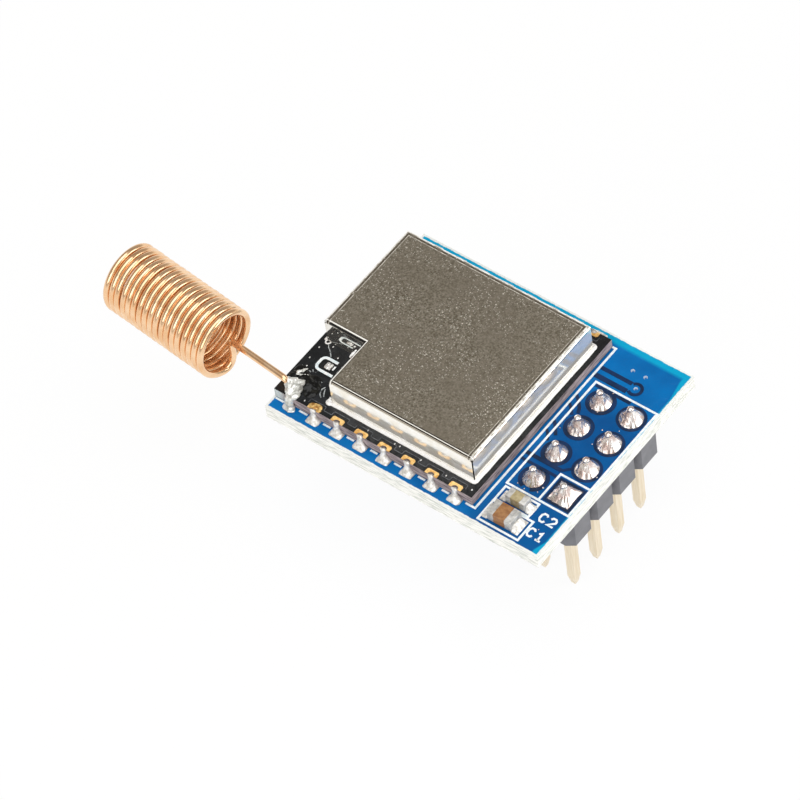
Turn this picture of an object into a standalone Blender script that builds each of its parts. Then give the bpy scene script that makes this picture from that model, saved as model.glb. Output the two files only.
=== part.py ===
"""Radio module on a small carrier board, with a wound wire antenna and a pin header.

Frame: +X runs from the antenna to the header end of the carrier board, +Y runs across the
board, +Z is up, and the pins point down. The origin is the middle of the header, on the
underside of its plastic housing, which seats on the socket that the module plugs into.
"""

import math

import bmesh
import bpy
from mathutils import Matrix, Vector

MM = 0.001

# Fits
SEAT_GAP = 0.01 * MM
WIRE_POCKET_GAP = 0.02 * MM

# Pin header, two columns along X and four rows along Y
PIN_PITCH = 2.54 * MM
PIN_COLUMNS = 2
PIN_ROWS = 4
PIN_SIDE = 0.64 * MM
PIN_REACH_BELOW = 6.2 * MM
PIN_REACH_ABOVE = 1.18 * MM
PIN_NOSE_SIDE = 0.2 * MM
PIN_TIP_SIDE = 0.34 * MM
PIN_NOSE_LENGTH = 0.1 * MM
PIN_TIP_LENGTH = 0.9 * MM
PIN_TAIL_SIDE = 0.26 * MM
PIN_TAIL_LENGTH = 0.8 * MM
HOUSING_HEIGHT = 2.54 * MM
HOUSING_NOTCH_X = 0.6 * MM
HOUSING_NOTCH_Y = 0.42 * MM
PIN_HOLE_DIAMETER = 1.0 * MM

# Solder cones on the header pads
PAD_DIAMETER = 1.75 * MM
CONE_NECK_RADIUS = 0.27 * MM
CONE_NECK_HEIGHT = 0.98 * MM
CONE_LEVELS = (0.3, 0.65)
CONE_HOLLOW = 1.15
NUB_RADIUS = 0.24 * MM
NUB_CROWN_RADIUS = 0.17 * MM
NUB_SHOULDER_SHARE = 0.6
NUB_COVER = 0.06 * MM

# Radio module board, with half holes along both long edges
MODULE_LENGTH = 16.8 * MM
MODULE_WIDTH = 15.9 * MM
MODULE_THICKNESS = 0.8 * MM
MODULE_STANDOFF = 0.05 * MM
HALF_HOLE_RADIUS = 0.25 * MM
HALF_HOLES_PER_SIDE = 8
FIRST_HALF_HOLE_INSET = 1.355 * MM
LAST_HALF_HOLE_INSET = 1.445 * MM

# Carrier board, laid out round the radio module and the header
CARRIER_THICKNESS = 1.2 * MM
MODULE_MARGIN_END = 0.09 * MM
MODULE_MARGIN_NEAR = 1.05 * MM
MODULE_MARGIN_FAR = 0.99 * MM
MODULE_TO_PINS = 2.11 * MM
PINS_TO_END = 1.46 * MM
PINS_TO_SIDE = 5.08 * MM

# Dimples where the solder mask sinks into small drilled vias, in the strip beyond the header:
# X from the header, and share of the way across the strip
VIA_PLACES = ((-1.04 * MM, 0.53), (0.02 * MM, 0.53), (0.02 * MM, 0.24))
VIA_RADIUS = 0.15 * MM
VIA_FLOOR_RADIUS = 0.07 * MM
VIA_DEPTH = 0.12 * MM

# Solder in the half holes, on lands that stand a little to the right of them
LAND_WIDTH = 1.06 * MM
LAND_DEPTH = 0.64 * MM
LAND_SHIFT = 0.16 * MM
FILLET_NECK_WIDTH = 0.54 * MM
FILLET_NECK_DEPTH = 0.09 * MM
FILLET_LEVELS = (0.0, 0.22, 0.5, 0.8, 1.0)
LAND_SQUARENESS = 0.45

# Folded shield can, notched at the antenna corner
SHIELD_HEIGHT = 2.35 * MM
SHIELD_SHEET = 0.2 * MM
SHIELD_BEND_RADIUS = 0.25 * MM
SHIELD_MARGIN_LEFT = 0.54 * MM
SHIELD_MARGIN_RIGHT = 0.65 * MM
SHIELD_MARGIN_NEAR = 1.23 * MM
SHIELD_MARGIN_FAR = 1.21 * MM
NOTCH_LENGTH = 3.47 * MM
NOTCH_WIDTH = 3.99 * MM
CORNER_SLIT = 0.09 * MM
CORNER_RELIEF_RADIUS = 0.12 * MM
SEAM_SOLDER_WIDTH = 0.33 * MM
SEAM_SOLDER_HEIGHT = 0.18 * MM
SEAM_SOLDER_SECTION = ((1.0, 0.0), (0.8, 0.6), (0.4, 0.9))
SEAM_CORNER_RADIUS = 0.02 * MM
SEAM_CORNER_GROWTH = 1.2

# Wound antenna
WIRE_DIAMETER = 0.5 * MM
COIL_MEAN_RADIUS = 2.4 * MM
COIL_PITCH = 0.535 * MM
COIL_TURNS = 18
COIL_END_ANGLE = math.radians(-110)
RISER_CURL = 0.84 * MM
LEAD_LENGTH = 5.0 * MM
LEAD_OFFSET = 0.43 * MM
LEAD_BEND_RADIUS = 0.4 * MM
LEAD_YAW = math.radians(-6)
LEAD_HEIGHT = 0.6 * MM
LEAD_INSET = 0.775 * MM
LEAD_END_BEFORE_PAD = 1.1 * MM
LEAD_DIP_ANGLE = math.radians(35)
LEAD_DIP_RADIUS = 0.35 * MM
LEAD_DIP_RUN = 0.5 * MM

# Solder heap that holds the antenna
HEAP_LENGTH = 1.4 * MM
HEAP_WIDTH = 1.4 * MM
HEAP_HEIGHT = 0.85 * MM
HEAP_SET_BACK = 0.07 * MM
HEAP_OVERHANG = 0.155 * MM
HEAP_LEVELS = (0.0, 0.2, 0.4, 0.6, 0.78, 0.9, 0.98)
HEAP_FULLNESS = 2.4
HEAP_LUMP = 0.05
HEAP_RIPPLE = 0.03
HEAP_LEG_TOP = 0.17 * MM
HEAP_LAND_DEPTH = 0.66 * MM

# Chip capacitors on the carrier
CAPACITOR_1_LENGTH = 2.0 * MM
CAPACITOR_1_WIDTH = 1.25 * MM
CAPACITOR_1_HEIGHT = 0.9 * MM
CAPACITOR_1_BAND = 0.5 * MM
CAPACITOR_1_TO_SIDE = 1.31 * MM
CAPACITOR_2_LENGTH = 1.6 * MM
CAPACITOR_2_WIDTH = 0.8 * MM
CAPACITOR_2_HEIGHT = 0.8 * MM
CAPACITOR_2_BAND = 0.35 * MM
CAPACITOR_2_TO_SIDE = 2.88 * MM
CAPACITORS_PAST_PINS = 0.36 * MM
BAND_STEP = 0.015 * MM
CAPACITOR_FILLET_REACH = 0.5 * MM
CAPACITOR_FILLET_TOE = 0.04 * MM
CAPACITOR_FILLET_SHARE = 0.62
CAPACITOR_FILLET_LEVELS = (0.0, 0.3, 0.65, 1.0)
CAPACITOR_FILLET_SPREAD = 1.04
CAPACITOR_FILLET_NARROWING = 0.12
CAPACITOR_FILLET_CREST = 0.8

# Chips under the shield
TRANSCEIVER_SIDE = 6.0 * MM
TRANSCEIVER_HEIGHT = 0.85 * MM
CRYSTAL_LENGTH = 3.2 * MM
CRYSTAL_WIDTH = 2.5 * MM
CRYSTAL_HEIGHT = 0.75 * MM
CRYSTAL_LID_HEIGHT = 0.2 * MM
CRYSTAL_LID_MARGIN = 0.2 * MM
CRYSTAL_TO_WALL = 0.6 * MM
SWITCH_SIDE = 1.5 * MM
SWITCH_HEIGHT = 0.6 * MM
SWITCH_TO_WALL = 1.05 * MM
CHIP_CHAMFER = 0.06 * MM
PASSIVE_LENGTH = 1.0 * MM
PASSIVE_WIDTH = 0.5 * MM
PASSIVE_HEIGHT = 0.5 * MM
PASSIVE_BAND = 0.25 * MM
PASSIVE_SPACING = 1.4 * MM
PASSIVE_TO_CHIP = 0.6 * MM
MATCHING_INDUCTORS = 3
BYPASS_ROWS = 2
BYPASS_COLUMNS = 2

# Facets
ROUND_STEPS = 16
BEND_STEPS = 4
FOOT_STEPS = 7
RISER_STEPS = 8
COIL_STEPS_PER_TURN = 18
WIRE_SECTION_STEPS = 2
POCKET_SECTION_STEPS = 6
SMOOTH_ANGLE = math.radians(40)

# Heights and edges that follow
CARRIER_BOTTOM = HOUSING_HEIGHT + SEAT_GAP
CARRIER_TOP = CARRIER_BOTTOM + CARRIER_THICKNESS
MODULE_BOTTOM = CARRIER_TOP + MODULE_STANDOFF
MODULE_TOP = MODULE_BOTTOM + MODULE_THICKNESS
PIN_TOP = CARRIER_TOP + PIN_REACH_ABOVE

CARRIER_LENGTH = (MODULE_MARGIN_END + MODULE_LENGTH + MODULE_TO_PINS
                  + (PIN_COLUMNS - 1) * PIN_PITCH + PINS_TO_END)
CARRIER_WIDTH = MODULE_MARGIN_NEAR + MODULE_WIDTH + MODULE_MARGIN_FAR
CARRIER_X1 = (PIN_COLUMNS - 1) * PIN_PITCH / 2 + PINS_TO_END
CARRIER_X0 = CARRIER_X1 - CARRIER_LENGTH
CARRIER_Y0 = -(PIN_ROWS - 1) * PIN_PITCH / 2 - PINS_TO_SIDE
CARRIER_Y1 = CARRIER_Y0 + CARRIER_WIDTH

MODULE_X0 = CARRIER_X0 + MODULE_MARGIN_END
MODULE_X1 = MODULE_X0 + MODULE_LENGTH
MODULE_Y0 = CARRIER_Y0 + MODULE_MARGIN_NEAR
MODULE_Y1 = MODULE_Y0 + MODULE_WIDTH

SHIELD_X0 = MODULE_X0 + SHIELD_MARGIN_LEFT
SHIELD_X1 = MODULE_X1 - SHIELD_MARGIN_RIGHT
SHIELD_Y0 = MODULE_Y0 + SHIELD_MARGIN_NEAR
SHIELD_Y1 = MODULE_Y1 - SHIELD_MARGIN_FAR
SHIELD_BOTTOM = MODULE_TOP + SEAT_GAP
SHIELD_TOP = MODULE_TOP + SHIELD_HEIGHT
CHIP_SEAT = MODULE_TOP + SEAT_GAP
PART_SEAT = CARRIER_TOP + SEAT_GAP

HALF_HOLE_PITCH = ((MODULE_LENGTH - FIRST_HALF_HOLE_INSET - LAST_HALF_HOLE_INSET)
                   / (HALF_HOLES_PER_SIDE - 1))
ANTENNA_PAD_X = MODULE_X0 + FIRST_HALF_HOLE_INSET


def clear_scene():
    for obj in list(bpy.data.objects):
        bpy.data.objects.remove(obj, do_unlink=True)


def material(name, colour, roughness, metallic=0.0):
    finish = bpy.data.materials.new(name)
    finish.use_nodes = True
    shader = finish.node_tree.nodes["Principled BSDF"]
    shader.inputs["Base Color"].default_value = (*colour, 1.0)
    shader.inputs["Roughness"].default_value = roughness
    shader.inputs["Metallic"].default_value = metallic
    return finish


def link(obj, finish=None):
    bpy.context.scene.collection.objects.link(obj)
    if finish:
        obj.data.materials.append(finish)
    return obj


def solid(name, mesh_data, finish=None, smooth=False):
    """Turn an edited mesh into a linked object with its faces pointing out."""
    bmesh.ops.recalc_face_normals(mesh_data, faces=mesh_data.faces)
    mesh = bpy.data.meshes.new(name)
    mesh_data.to_mesh(mesh)
    mesh_data.free()
    if smooth:
        mesh.shade_smooth()
        mesh.set_sharp_from_angle(angle=SMOOTH_ANGLE)
    return link(bpy.data.objects.new(name, mesh), finish)


def loft(mesh_data, loops):
    """Skin a stack of outlines with equal point counts, and cap both ends."""
    rings = [[mesh_data.verts.new(point) for point in loop] for loop in loops]
    count = len(rings[0])
    for lower, upper in zip(rings, rings[1:]):
        for i in range(count):
            j = (i + 1) % count
            mesh_data.faces.new((lower[i], lower[j], upper[j], upper[i]))
    mesh_data.faces.new(reversed(rings[0]))
    mesh_data.faces.new(rings[-1])


def lofted(name, loops, finish=None, smooth=False):
    mesh_data = bmesh.new()
    loft(mesh_data, loops)
    return solid(name, mesh_data, finish, smooth)


def rectangle(centre_x, centre_y, length, width, z):
    x, y = length / 2, width / 2
    corners = ((-x, -y), (x, -y), (x, y), (-x, y))
    return [(centre_x + dx, centre_y + dy, z) for dx, dy in corners]


def circle(centre_x, centre_y, radius, z, steps=ROUND_STEPS):
    turns = (2 * math.pi * i / steps for i in range(steps))
    return [(centre_x + radius * math.cos(a), centre_y + radius * math.sin(a), z) for a in turns]


def square_in_steps(centre_x, centre_y, side, z, steps=ROUND_STEPS):
    """A square with as many points as a circle, so that the two can be skinned."""
    points = []
    for i in range(steps):
        angle = 2 * math.pi * i / steps
        reach = side / 2 / max(abs(math.cos(angle)), abs(math.sin(angle)))
        points.append((centre_x + reach * math.cos(angle), centre_y + reach * math.sin(angle), z))
    return points


def blend(low, high, share):
    return low + (high - low) * share


def cut(target, cutter, operation="DIFFERENCE"):
    cutter.hide_render = True
    cutter.display_type = "WIRE"
    boolean = target.modifiers.new(cutter.name, "BOOLEAN")
    boolean.operation = operation
    boolean.solver = "EXACT"
    boolean.object = cutter


def pin_centres():
    """Pins row by row from the near side, the inner column first."""
    for row in range(PIN_ROWS):
        for column in range(PIN_COLUMNS):
            yield ((column - (PIN_COLUMNS - 1) / 2) * PIN_PITCH,
                   (row - (PIN_ROWS - 1) / 2) * PIN_PITCH)


def half_hole_centres():
    return [MODULE_X0 + FIRST_HALF_HOLE_INSET + i * HALF_HOLE_PITCH
            for i in range(HALF_HOLES_PER_SIDE)]


def make_carrier_board(finish):
    middle_x = (CARRIER_X0 + CARRIER_X1) / 2
    middle_y = (CARRIER_Y0 + CARRIER_Y1) / 2
    faces = [rectangle(middle_x, middle_y, CARRIER_LENGTH, CARRIER_WIDTH, z)
             for z in (CARRIER_BOTTOM, CARRIER_TOP)]
    board = lofted("carrier_board", faces, finish)
    drills = bmesh.new()
    for x, y in pin_centres():
        loft(drills, [circle(x, y, PIN_HOLE_DIAMETER / 2, z)
                      for z in (CARRIER_BOTTOM - CARRIER_THICKNESS, CARRIER_TOP + CARRIER_THICKNESS)])
    header_y1 = PIN_ROWS * PIN_PITCH / 2
    for x, share in VIA_PLACES:
        stations = ((CARRIER_TOP - VIA_DEPTH, VIA_FLOOR_RADIUS), (CARRIER_TOP, VIA_RADIUS),
                    (CARRIER_TOP + VIA_DEPTH, VIA_RADIUS))
        y = blend(header_y1, CARRIER_Y1, share)
        loft(drills, [circle(x, y, radius, z) for z, radius in stations])
    cut(board, solid("carrier_drills", drills))


def housing_outline(z):
    """Outline of the header housing: one chamfered cell for each pin."""
    half_x = PIN_COLUMNS * PIN_PITCH / 2
    half_y = PIN_ROWS * PIN_PITCH / 2
    sides = ((Vector((-half_x, -half_y)), Vector((1, 0)), PIN_COLUMNS),
             (Vector((half_x, -half_y)), Vector((0, 1)), PIN_ROWS),
             (Vector((half_x, half_y)), Vector((-1, 0)), PIN_COLUMNS),
             (Vector((-half_x, half_y)), Vector((0, -1)), PIN_ROWS))
    points = []
    for start, along, cells in sides:
        inward = Vector((-along.y, along.x))
        runs_along_x = along.x != 0
        trim = HOUSING_NOTCH_X if runs_along_x else HOUSING_NOTCH_Y
        depth = HOUSING_NOTCH_Y if runs_along_x else HOUSING_NOTCH_X
        for cell in range(cells):
            points.append(start + along * (cell * PIN_PITCH + trim))
            points.append(start + along * ((cell + 1) * PIN_PITCH - trim))
            if cell < cells - 1:
                points.append(start + along * ((cell + 1) * PIN_PITCH) + inward * depth)
    return [(point.x, point.y, z) for point in points]


def make_header_housing(finish):
    housing = lofted("header_housing", [housing_outline(0.0), housing_outline(HOUSING_HEIGHT)], finish)
    sockets = bmesh.new()
    for x, y in pin_centres():
        side = PIN_SIDE + 2 * SEAT_GAP
        loft(sockets, [rectangle(x, y, side, side, z) for z in (-HOUSING_HEIGHT, 2 * HOUSING_HEIGHT)])
    cut(housing, solid("housing_sockets", sockets))


def make_header_pins(finish):
    for number, (x, y) in enumerate(pin_centres(), start=1):
        stations = ((-PIN_REACH_BELOW, PIN_NOSE_SIDE),
                    (-PIN_REACH_BELOW + PIN_NOSE_LENGTH, PIN_TIP_SIDE),
                    (-PIN_REACH_BELOW + PIN_TIP_LENGTH, PIN_SIDE),
                    (PIN_TOP - PIN_TAIL_LENGTH, PIN_SIDE),
                    (PIN_TOP, PIN_TAIL_SIDE))
        lofted(f"header_pin_{number}", [rectangle(x, y, side, side, z) for z, side in stations], finish)


def make_header_solder(finish):
    """Solder fills each drilled hole round its pin and climbs the pin's tail to a nub."""
    base = PART_SEAT
    neck = CARRIER_TOP + CONE_NECK_HEIGHT
    nub_top = PIN_TOP + NUB_COVER
    for number, (x, y) in enumerate(pin_centres(), start=1):
        pocket = ((PIN_TOP + SEAT_GAP, PIN_TAIL_SIDE), (PIN_TOP - PIN_TAIL_LENGTH, PIN_SIDE),
                  (CARRIER_BOTTOM, PIN_SIDE))
        loops = [square_in_steps(x, y, side + 2 * SEAT_GAP, z) for z, side in pocket]
        barrel = PIN_HOLE_DIAMETER / 2 - SEAT_GAP
        loops += [circle(x, y, barrel, CARRIER_BOTTOM), circle(x, y, barrel, base)]
        # The near pin of the outer column sits on a square pad, which marks pin one
        pad = square_in_steps if number == PIN_COLUMNS else circle
        foot = PAD_DIAMETER if number == PIN_COLUMNS else PAD_DIAMETER / 2
        loops.append(pad(x, y, foot, base))
        for share in CONE_LEVELS:
            radius = blend(PAD_DIAMETER / 2, CONE_NECK_RADIUS, share)
            loops.append(circle(x, y, radius, blend(base, neck, share ** CONE_HOLLOW)))
        loops.append(circle(x, y, CONE_NECK_RADIUS, neck))
        loops.append(circle(x, y, NUB_RADIUS, blend(neck, nub_top, NUB_SHOULDER_SHARE)))
        loops.append(circle(x, y, NUB_CROWN_RADIUS, nub_top))
        lofted(f"header_solder_{number}", loops, finish, smooth=True)


def module_outline(z):
    """Module board outline, with a half hole bitten out at each edge pad."""
    arc_steps = ROUND_STEPS // 2
    points = [(MODULE_X0, MODULE_Y0, z)]
    for centre in half_hole_centres():
        for i in range(arc_steps + 1):
            angle = math.pi - math.pi * i / arc_steps
            points.append((centre + HALF_HOLE_RADIUS * math.cos(angle),
                           MODULE_Y0 + HALF_HOLE_RADIUS * math.sin(angle), z))
    points.append((MODULE_X1, MODULE_Y0, z))
    points.append((MODULE_X1, MODULE_Y1, z))
    for centre in reversed(half_hole_centres()):
        for i in range(arc_steps + 1):
            angle = -math.pi * i / arc_steps
            points.append((centre + HALF_HOLE_RADIUS * math.cos(angle),
                           MODULE_Y1 + HALF_HOLE_RADIUS * math.sin(angle), z))
    points.append((MODULE_X0, MODULE_Y1, z))
    return points


def make_module_board(finish):
    lofted("module_board", [module_outline(MODULE_BOTTOM), module_outline(MODULE_TOP)], finish)


def fillet_outline(centre_x, edge_y, outward, shift, half_width, depth, squareness, z):
    """Section of a half hole's solder: an arc in the board, and a foot outside its edge."""
    core = HALF_HOLE_RADIUS - SEAT_GAP
    points = [(core, SEAT_GAP)]
    for i in range(1, FOOT_STEPS):
        angle = math.pi * i / FOOT_STEPS
        points.append((core * math.cos(angle), -core * math.sin(angle)))
    points += [(-core, SEAT_GAP), (shift - half_width, SEAT_GAP)]
    for i in range(1, FOOT_STEPS):
        angle = math.pi - math.pi * i / FOOT_STEPS
        side = math.copysign(abs(math.cos(angle)) ** squareness, math.cos(angle))
        points.append((shift + half_width * side, SEAT_GAP + depth * math.sin(angle) ** squareness))
    points.append((shift + half_width, SEAT_GAP))
    return [(centre_x + along, edge_y + outward * out, z) for along, out in points]


def fillet_loops(centre_x, edge_y, outward, land_depth, top):
    """Solder climbs from a wide land on the carrier to a narrow neck at the half hole."""
    loops = []
    for share in FILLET_LEVELS:
        spread = (1 - share) ** 2
        half_width = blend(FILLET_NECK_WIDTH, LAND_WIDTH, spread) / 2
        depth = blend(FILLET_NECK_DEPTH, land_depth, spread)
        loops.append(fillet_outline(centre_x, edge_y, outward, LAND_SHIFT * spread, half_width, depth,
                                    blend(1.0, LAND_SQUARENESS, spread), blend(PART_SEAT, top, share)))
    return loops


def make_edge_solder(finish):
    """Every half hole but the antenna's has a plain fillet."""
    for side, edge_y, outward in (("near", MODULE_Y0, -1), ("far", MODULE_Y1, 1)):
        for number, centre in enumerate(half_hole_centres(), start=1):
            if side == "near" and number == 1:
                continue
            lofted(f"edge_solder_{side}_{number}",
                   fillet_loops(centre, edge_y, outward, LAND_DEPTH, MODULE_TOP), finish, smooth=True)


def shield_corners(inset):
    """Corners of the L-shaped can at a distance inside its outer wall faces."""
    x0, x1 = SHIELD_X0 + inset, SHIELD_X1 - inset
    y0, y1 = SHIELD_Y0 + inset, SHIELD_Y1 - inset
    notch_x = SHIELD_X0 + NOTCH_LENGTH + inset
    notch_y = SHIELD_Y0 + NOTCH_WIDTH + inset
    return [(notch_x, y0), (x1, y0), (x1, y1), (x0, y1), (x0, notch_y), (notch_x, notch_y)]


def shield_loop(inset, z):
    return [(x, y, z) for x, y in shield_corners(inset)]


def bend_profile(radius, inset):
    """Points of a top edge bend, from the wall up to the flat top: inset and height."""
    points = []
    for i in range(BEND_STEPS + 1):
        angle = math.pi / 2 * i / BEND_STEPS
        points.append((inset + radius * (1 - math.cos(angle)),
                       SHIELD_TOP - SHIELD_BEND_RADIUS + radius * math.sin(angle)))
    return points


def slit_outline():
    """A keyhole: a narrow slit up from the foot of the walls, and a round relief at its top."""
    foot = SHIELD_BOTTOM - SHIELD_SHEET
    relief_height = SHIELD_TOP - SHIELD_BEND_RADIUS
    opening = math.asin(CORNER_SLIT / 2 / CORNER_RELIEF_RADIUS)
    points = [(-CORNER_SLIT / 2, foot)]
    for i in range(ROUND_STEPS // 2 + 1):
        angle = -math.pi / 2 - opening - 2 * (math.pi - opening) * i / (ROUND_STEPS // 2)
        points.append((CORNER_RELIEF_RADIUS * math.cos(angle),
                       relief_height + CORNER_RELIEF_RADIUS * math.sin(angle)))
    return points + [(CORNER_SLIT / 2, foot)]


def make_shield_can(finish):
    """One folded sheet: a flat top, bent-down walls, and open slits where the walls meet."""
    outer = [(0.0, SHIELD_BOTTOM)] + bend_profile(SHIELD_BEND_RADIUS, 0.0)
    inner = [(SHIELD_SHEET, SHIELD_BOTTOM)] + bend_profile(SHIELD_BEND_RADIUS - SHIELD_SHEET, SHIELD_SHEET)
    loops = [shield_loop(inset, z) for inset, z in reversed(outer)]
    loops += [shield_loop(inset, z) for inset, z in inner]
    shield = lofted("shield_can", loops, finish, smooth=True)

    slits = bmesh.new()
    for outer_corner, middle_corner in zip(shield_corners(0.0), shield_corners(SHIELD_SHEET / 2)):
        middle = Vector(middle_corner)
        through = (middle - Vector(outer_corner)).normalized()
        across = Vector((-through.y, through.x))
        loops = []
        for reach in (-2 * SHIELD_SHEET, 2 * SHIELD_SHEET):
            end = middle + through * reach
            loops.append([(*(end + across * aside), z) for aside, z in slit_outline()])
        loft(slits, loops)
    cut(shield, solid("corner_slits", slits))


def rounded_foot_line(offset, radius, z):
    """The can's outline moved out by an offset, with rounded corners and open along the notch."""
    corners = [Vector(corner) for corner in shield_corners(-offset)]
    points = []
    for i, corner in enumerate(corners[:-1]):
        back = (corners[i - 1] - corner).normalized()
        ahead = (corners[i + 1] - corner).normalized()
        start, end = corner + back * radius, corner + ahead * radius
        for step in range(BEND_STEPS + 1):
            share = step / BEND_STEPS
            bend = start.lerp(corner, share).lerp(corner.lerp(end, share), share)
            points.append((bend.x, bend.y, z))
    return points


def make_seam_solder(finish):
    """A bead of solder runs along the foot of the can's walls, but not in the notch."""
    base = SHIELD_BOTTOM
    section = [(SEAT_GAP, 0.0)]
    section += [(out * SEAM_SOLDER_WIDTH, up) for out, up in SEAM_SOLDER_SECTION]
    section += [(SEAT_GAP, 1.0)]
    lines = []
    for offset, height in section:
        radius = SEAM_CORNER_RADIUS + SEAM_CORNER_GROWTH * offset
        lines.append(rounded_foot_line(offset, radius, base + height * SEAM_SOLDER_HEIGHT))
    lofted("shield_seam_solder", [list(cross) for cross in zip(*lines)], finish, smooth=True)


def antenna_frame():
    """Turns antenna coordinates, with the lead's end at their origin, into the part's frame."""
    lead_end = Vector((ANTENNA_PAD_X - LEAD_END_BEFORE_PAD, MODULE_Y0 + LEAD_INSET,
                       MODULE_TOP + LEAD_HEIGHT))
    return Matrix.Translation(lead_end) @ Matrix.Rotation(LEAD_YAW, 4, "Z")


def coil_points():
    """The wound turns, from the free end to the end that faces the board."""
    ring = Vector((-LEAD_LENGTH, -LEAD_OFFSET, 0.0))
    steps = COIL_TURNS * COIL_STEPS_PER_TURN
    for i in range(steps + 1):
        turns_left = COIL_TURNS * (1 - i / steps)
        angle = COIL_END_ANGLE - 2 * math.pi * turns_left
        yield ring + Vector((-COIL_PITCH * turns_left,
                             COIL_MEAN_RADIUS * math.cos(angle),
                             COIL_MEAN_RADIUS * math.sin(angle)))


def riser_points(start):
    """The last turn curls inward and rises to the lead."""
    heading = Vector((COIL_PITCH / (2 * math.pi * COIL_MEAN_RADIUS),
                      -math.sin(COIL_END_ANGLE), math.cos(COIL_END_ANGLE)))
    end = Vector((-LEAD_LENGTH, 0.0, -COIL_MEAN_RADIUS / 2))
    handles = (start, start + heading * RISER_CURL, end - Vector((0, 0, RISER_CURL)), end)
    for i in range(1, RISER_STEPS + 1):
        s = i / RISER_STEPS
        weights = ((1 - s) ** 3, 3 * s * (1 - s) ** 2, 3 * s ** 2 * (1 - s), s ** 3)
        yield sum((handle * weight for handle, weight in zip(handles, weights)), Vector())


def bend_points(centre, radius, start_angle, end_angle):
    """An arc in the upright plane of the lead, about a centre point."""
    for i in range(BEND_STEPS + 1):
        angle = blend(start_angle, end_angle, i / BEND_STEPS)
        yield centre + Vector((radius * math.cos(angle), 0.0, radius * math.sin(angle)))


def lead_points():
    """Up from the last turn, round into the lead, and down into the solder."""
    first_centre = Vector((-LEAD_LENGTH + LEAD_BEND_RADIUS, 0.0, -LEAD_BEND_RADIUS))
    yield from bend_points(first_centre, LEAD_BEND_RADIUS, math.pi, math.pi / 2)
    yield from dip_points()


def dip_points():
    """The end of the lead, bent down into the solder heap."""
    centre = Vector((0.0, 0.0, -LEAD_DIP_RADIUS))
    dip = list(bend_points(centre, LEAD_DIP_RADIUS, math.pi / 2, math.pi / 2 - LEAD_DIP_ANGLE))
    yield from dip
    run = Vector((math.cos(LEAD_DIP_ANGLE), 0.0, -math.sin(LEAD_DIP_ANGLE))) * LEAD_DIP_RUN
    yield dip[-1] + run


def wire(name, points, radius, bevel_resolution, finish=None):
    """A round wire along points given in the antenna's own coordinates."""
    curve = bpy.data.curves.new(name, "CURVE")
    curve.dimensions = "3D"
    curve.bevel_depth = radius
    curve.bevel_resolution = bevel_resolution
    curve.use_fill_caps = True
    frame = antenna_frame()
    placed = [frame @ point for point in points]
    spline = curve.splines.new("POLY")
    spline.points.add(len(placed) - 1)
    for spline_point, point in zip(spline.points, placed):
        spline_point.co = (*point, 1.0)
    spline.use_smooth = True
    return link(bpy.data.objects.new(name, curve), finish)


def make_antenna(finish):
    turns = list(coil_points())
    route = turns + list(riser_points(turns[-1])) + list(lead_points())
    wire("antenna_coil", route, WIRE_DIAMETER / 2, WIRE_SECTION_STEPS, finish)


def heap_loop(height_share):
    """One level of the antenna's solder heap, a dome with a lumpy side."""
    centre_x = ANTENNA_PAD_X - HEAP_SET_BACK
    centre_y = MODULE_Y0 + HEAP_WIDTH / 2 - HEAP_OVERHANG
    spread = math.sqrt(1 - height_share ** HEAP_FULLNESS)
    points = []
    for i in range(COIL_STEPS_PER_TURN):
        angle = 2 * math.pi * i / COIL_STEPS_PER_TURN
        lump = (1 + HEAP_LUMP * math.sin(3 * angle + 1)
                + HEAP_RIPPLE * math.sin(5 * angle + 4 * height_share))
        points.append((centre_x + HEAP_LENGTH / 2 * spread * lump * math.cos(angle),
                       centre_y + HEAP_WIDTH / 2 * spread * lump * math.sin(angle),
                       CHIP_SEAT + HEAP_HEIGHT * height_share))
    return points


def make_antenna_solder(finish):
    """A rough heap holds the lead's end, with one leg down the first half hole."""
    heap = lofted("antenna_solder", [heap_loop(share) for share in HEAP_LEVELS], finish, smooth=True)
    leg = lofted("antenna_solder_leg", fillet_loops(ANTENNA_PAD_X, MODULE_Y0, -1, HEAP_LAND_DEPTH,
                                                    MODULE_TOP + HEAP_LEG_TOP))
    cut(heap, leg, "UNION")
    run_in = Vector((-HEAP_LENGTH, 0.0, 0.0))
    pocket = wire("lead_pocket", [run_in] + list(dip_points()), WIRE_DIAMETER / 2 + WIRE_POCKET_GAP,
                  POCKET_SECTION_STEPS)
    bpy.context.view_layer.update()
    mesh = bpy.data.meshes.new_from_object(pocket.evaluated_get(bpy.context.evaluated_depsgraph_get()))
    cutter = link(bpy.data.objects.new("lead_pocket_cutter", mesh))
    bpy.data.objects.remove(pocket, do_unlink=True)
    cut(heap, cutter)


def chip_part(name, centre, size, band, seat, finish, along_y=False):
    """A two-ended chip part: a ceramic body with slightly proud metal end bands."""
    length, width, height = size
    stations = ((0.0, 0.0), (band, 0.0), (band, BAND_STEP), (length - band, BAND_STEP),
                (length - band, 0.0), (length, 0.0))
    loops = []
    for along, step in stations:
        section = ((-width / 2 + step, step), (width / 2 - step, step),
                   (width / 2 - step, height - step), (-width / 2 + step, height - step))
        for_axis = [(along - length / 2, across, up) for across, up in section]
        if along_y:
            for_axis = [(-across, forward, up) for forward, across, up in for_axis]
        loops.append([(centre[0] + x, centre[1] + y, seat + z) for x, y, z in for_axis])
    return lofted(name, loops, finish)


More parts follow.
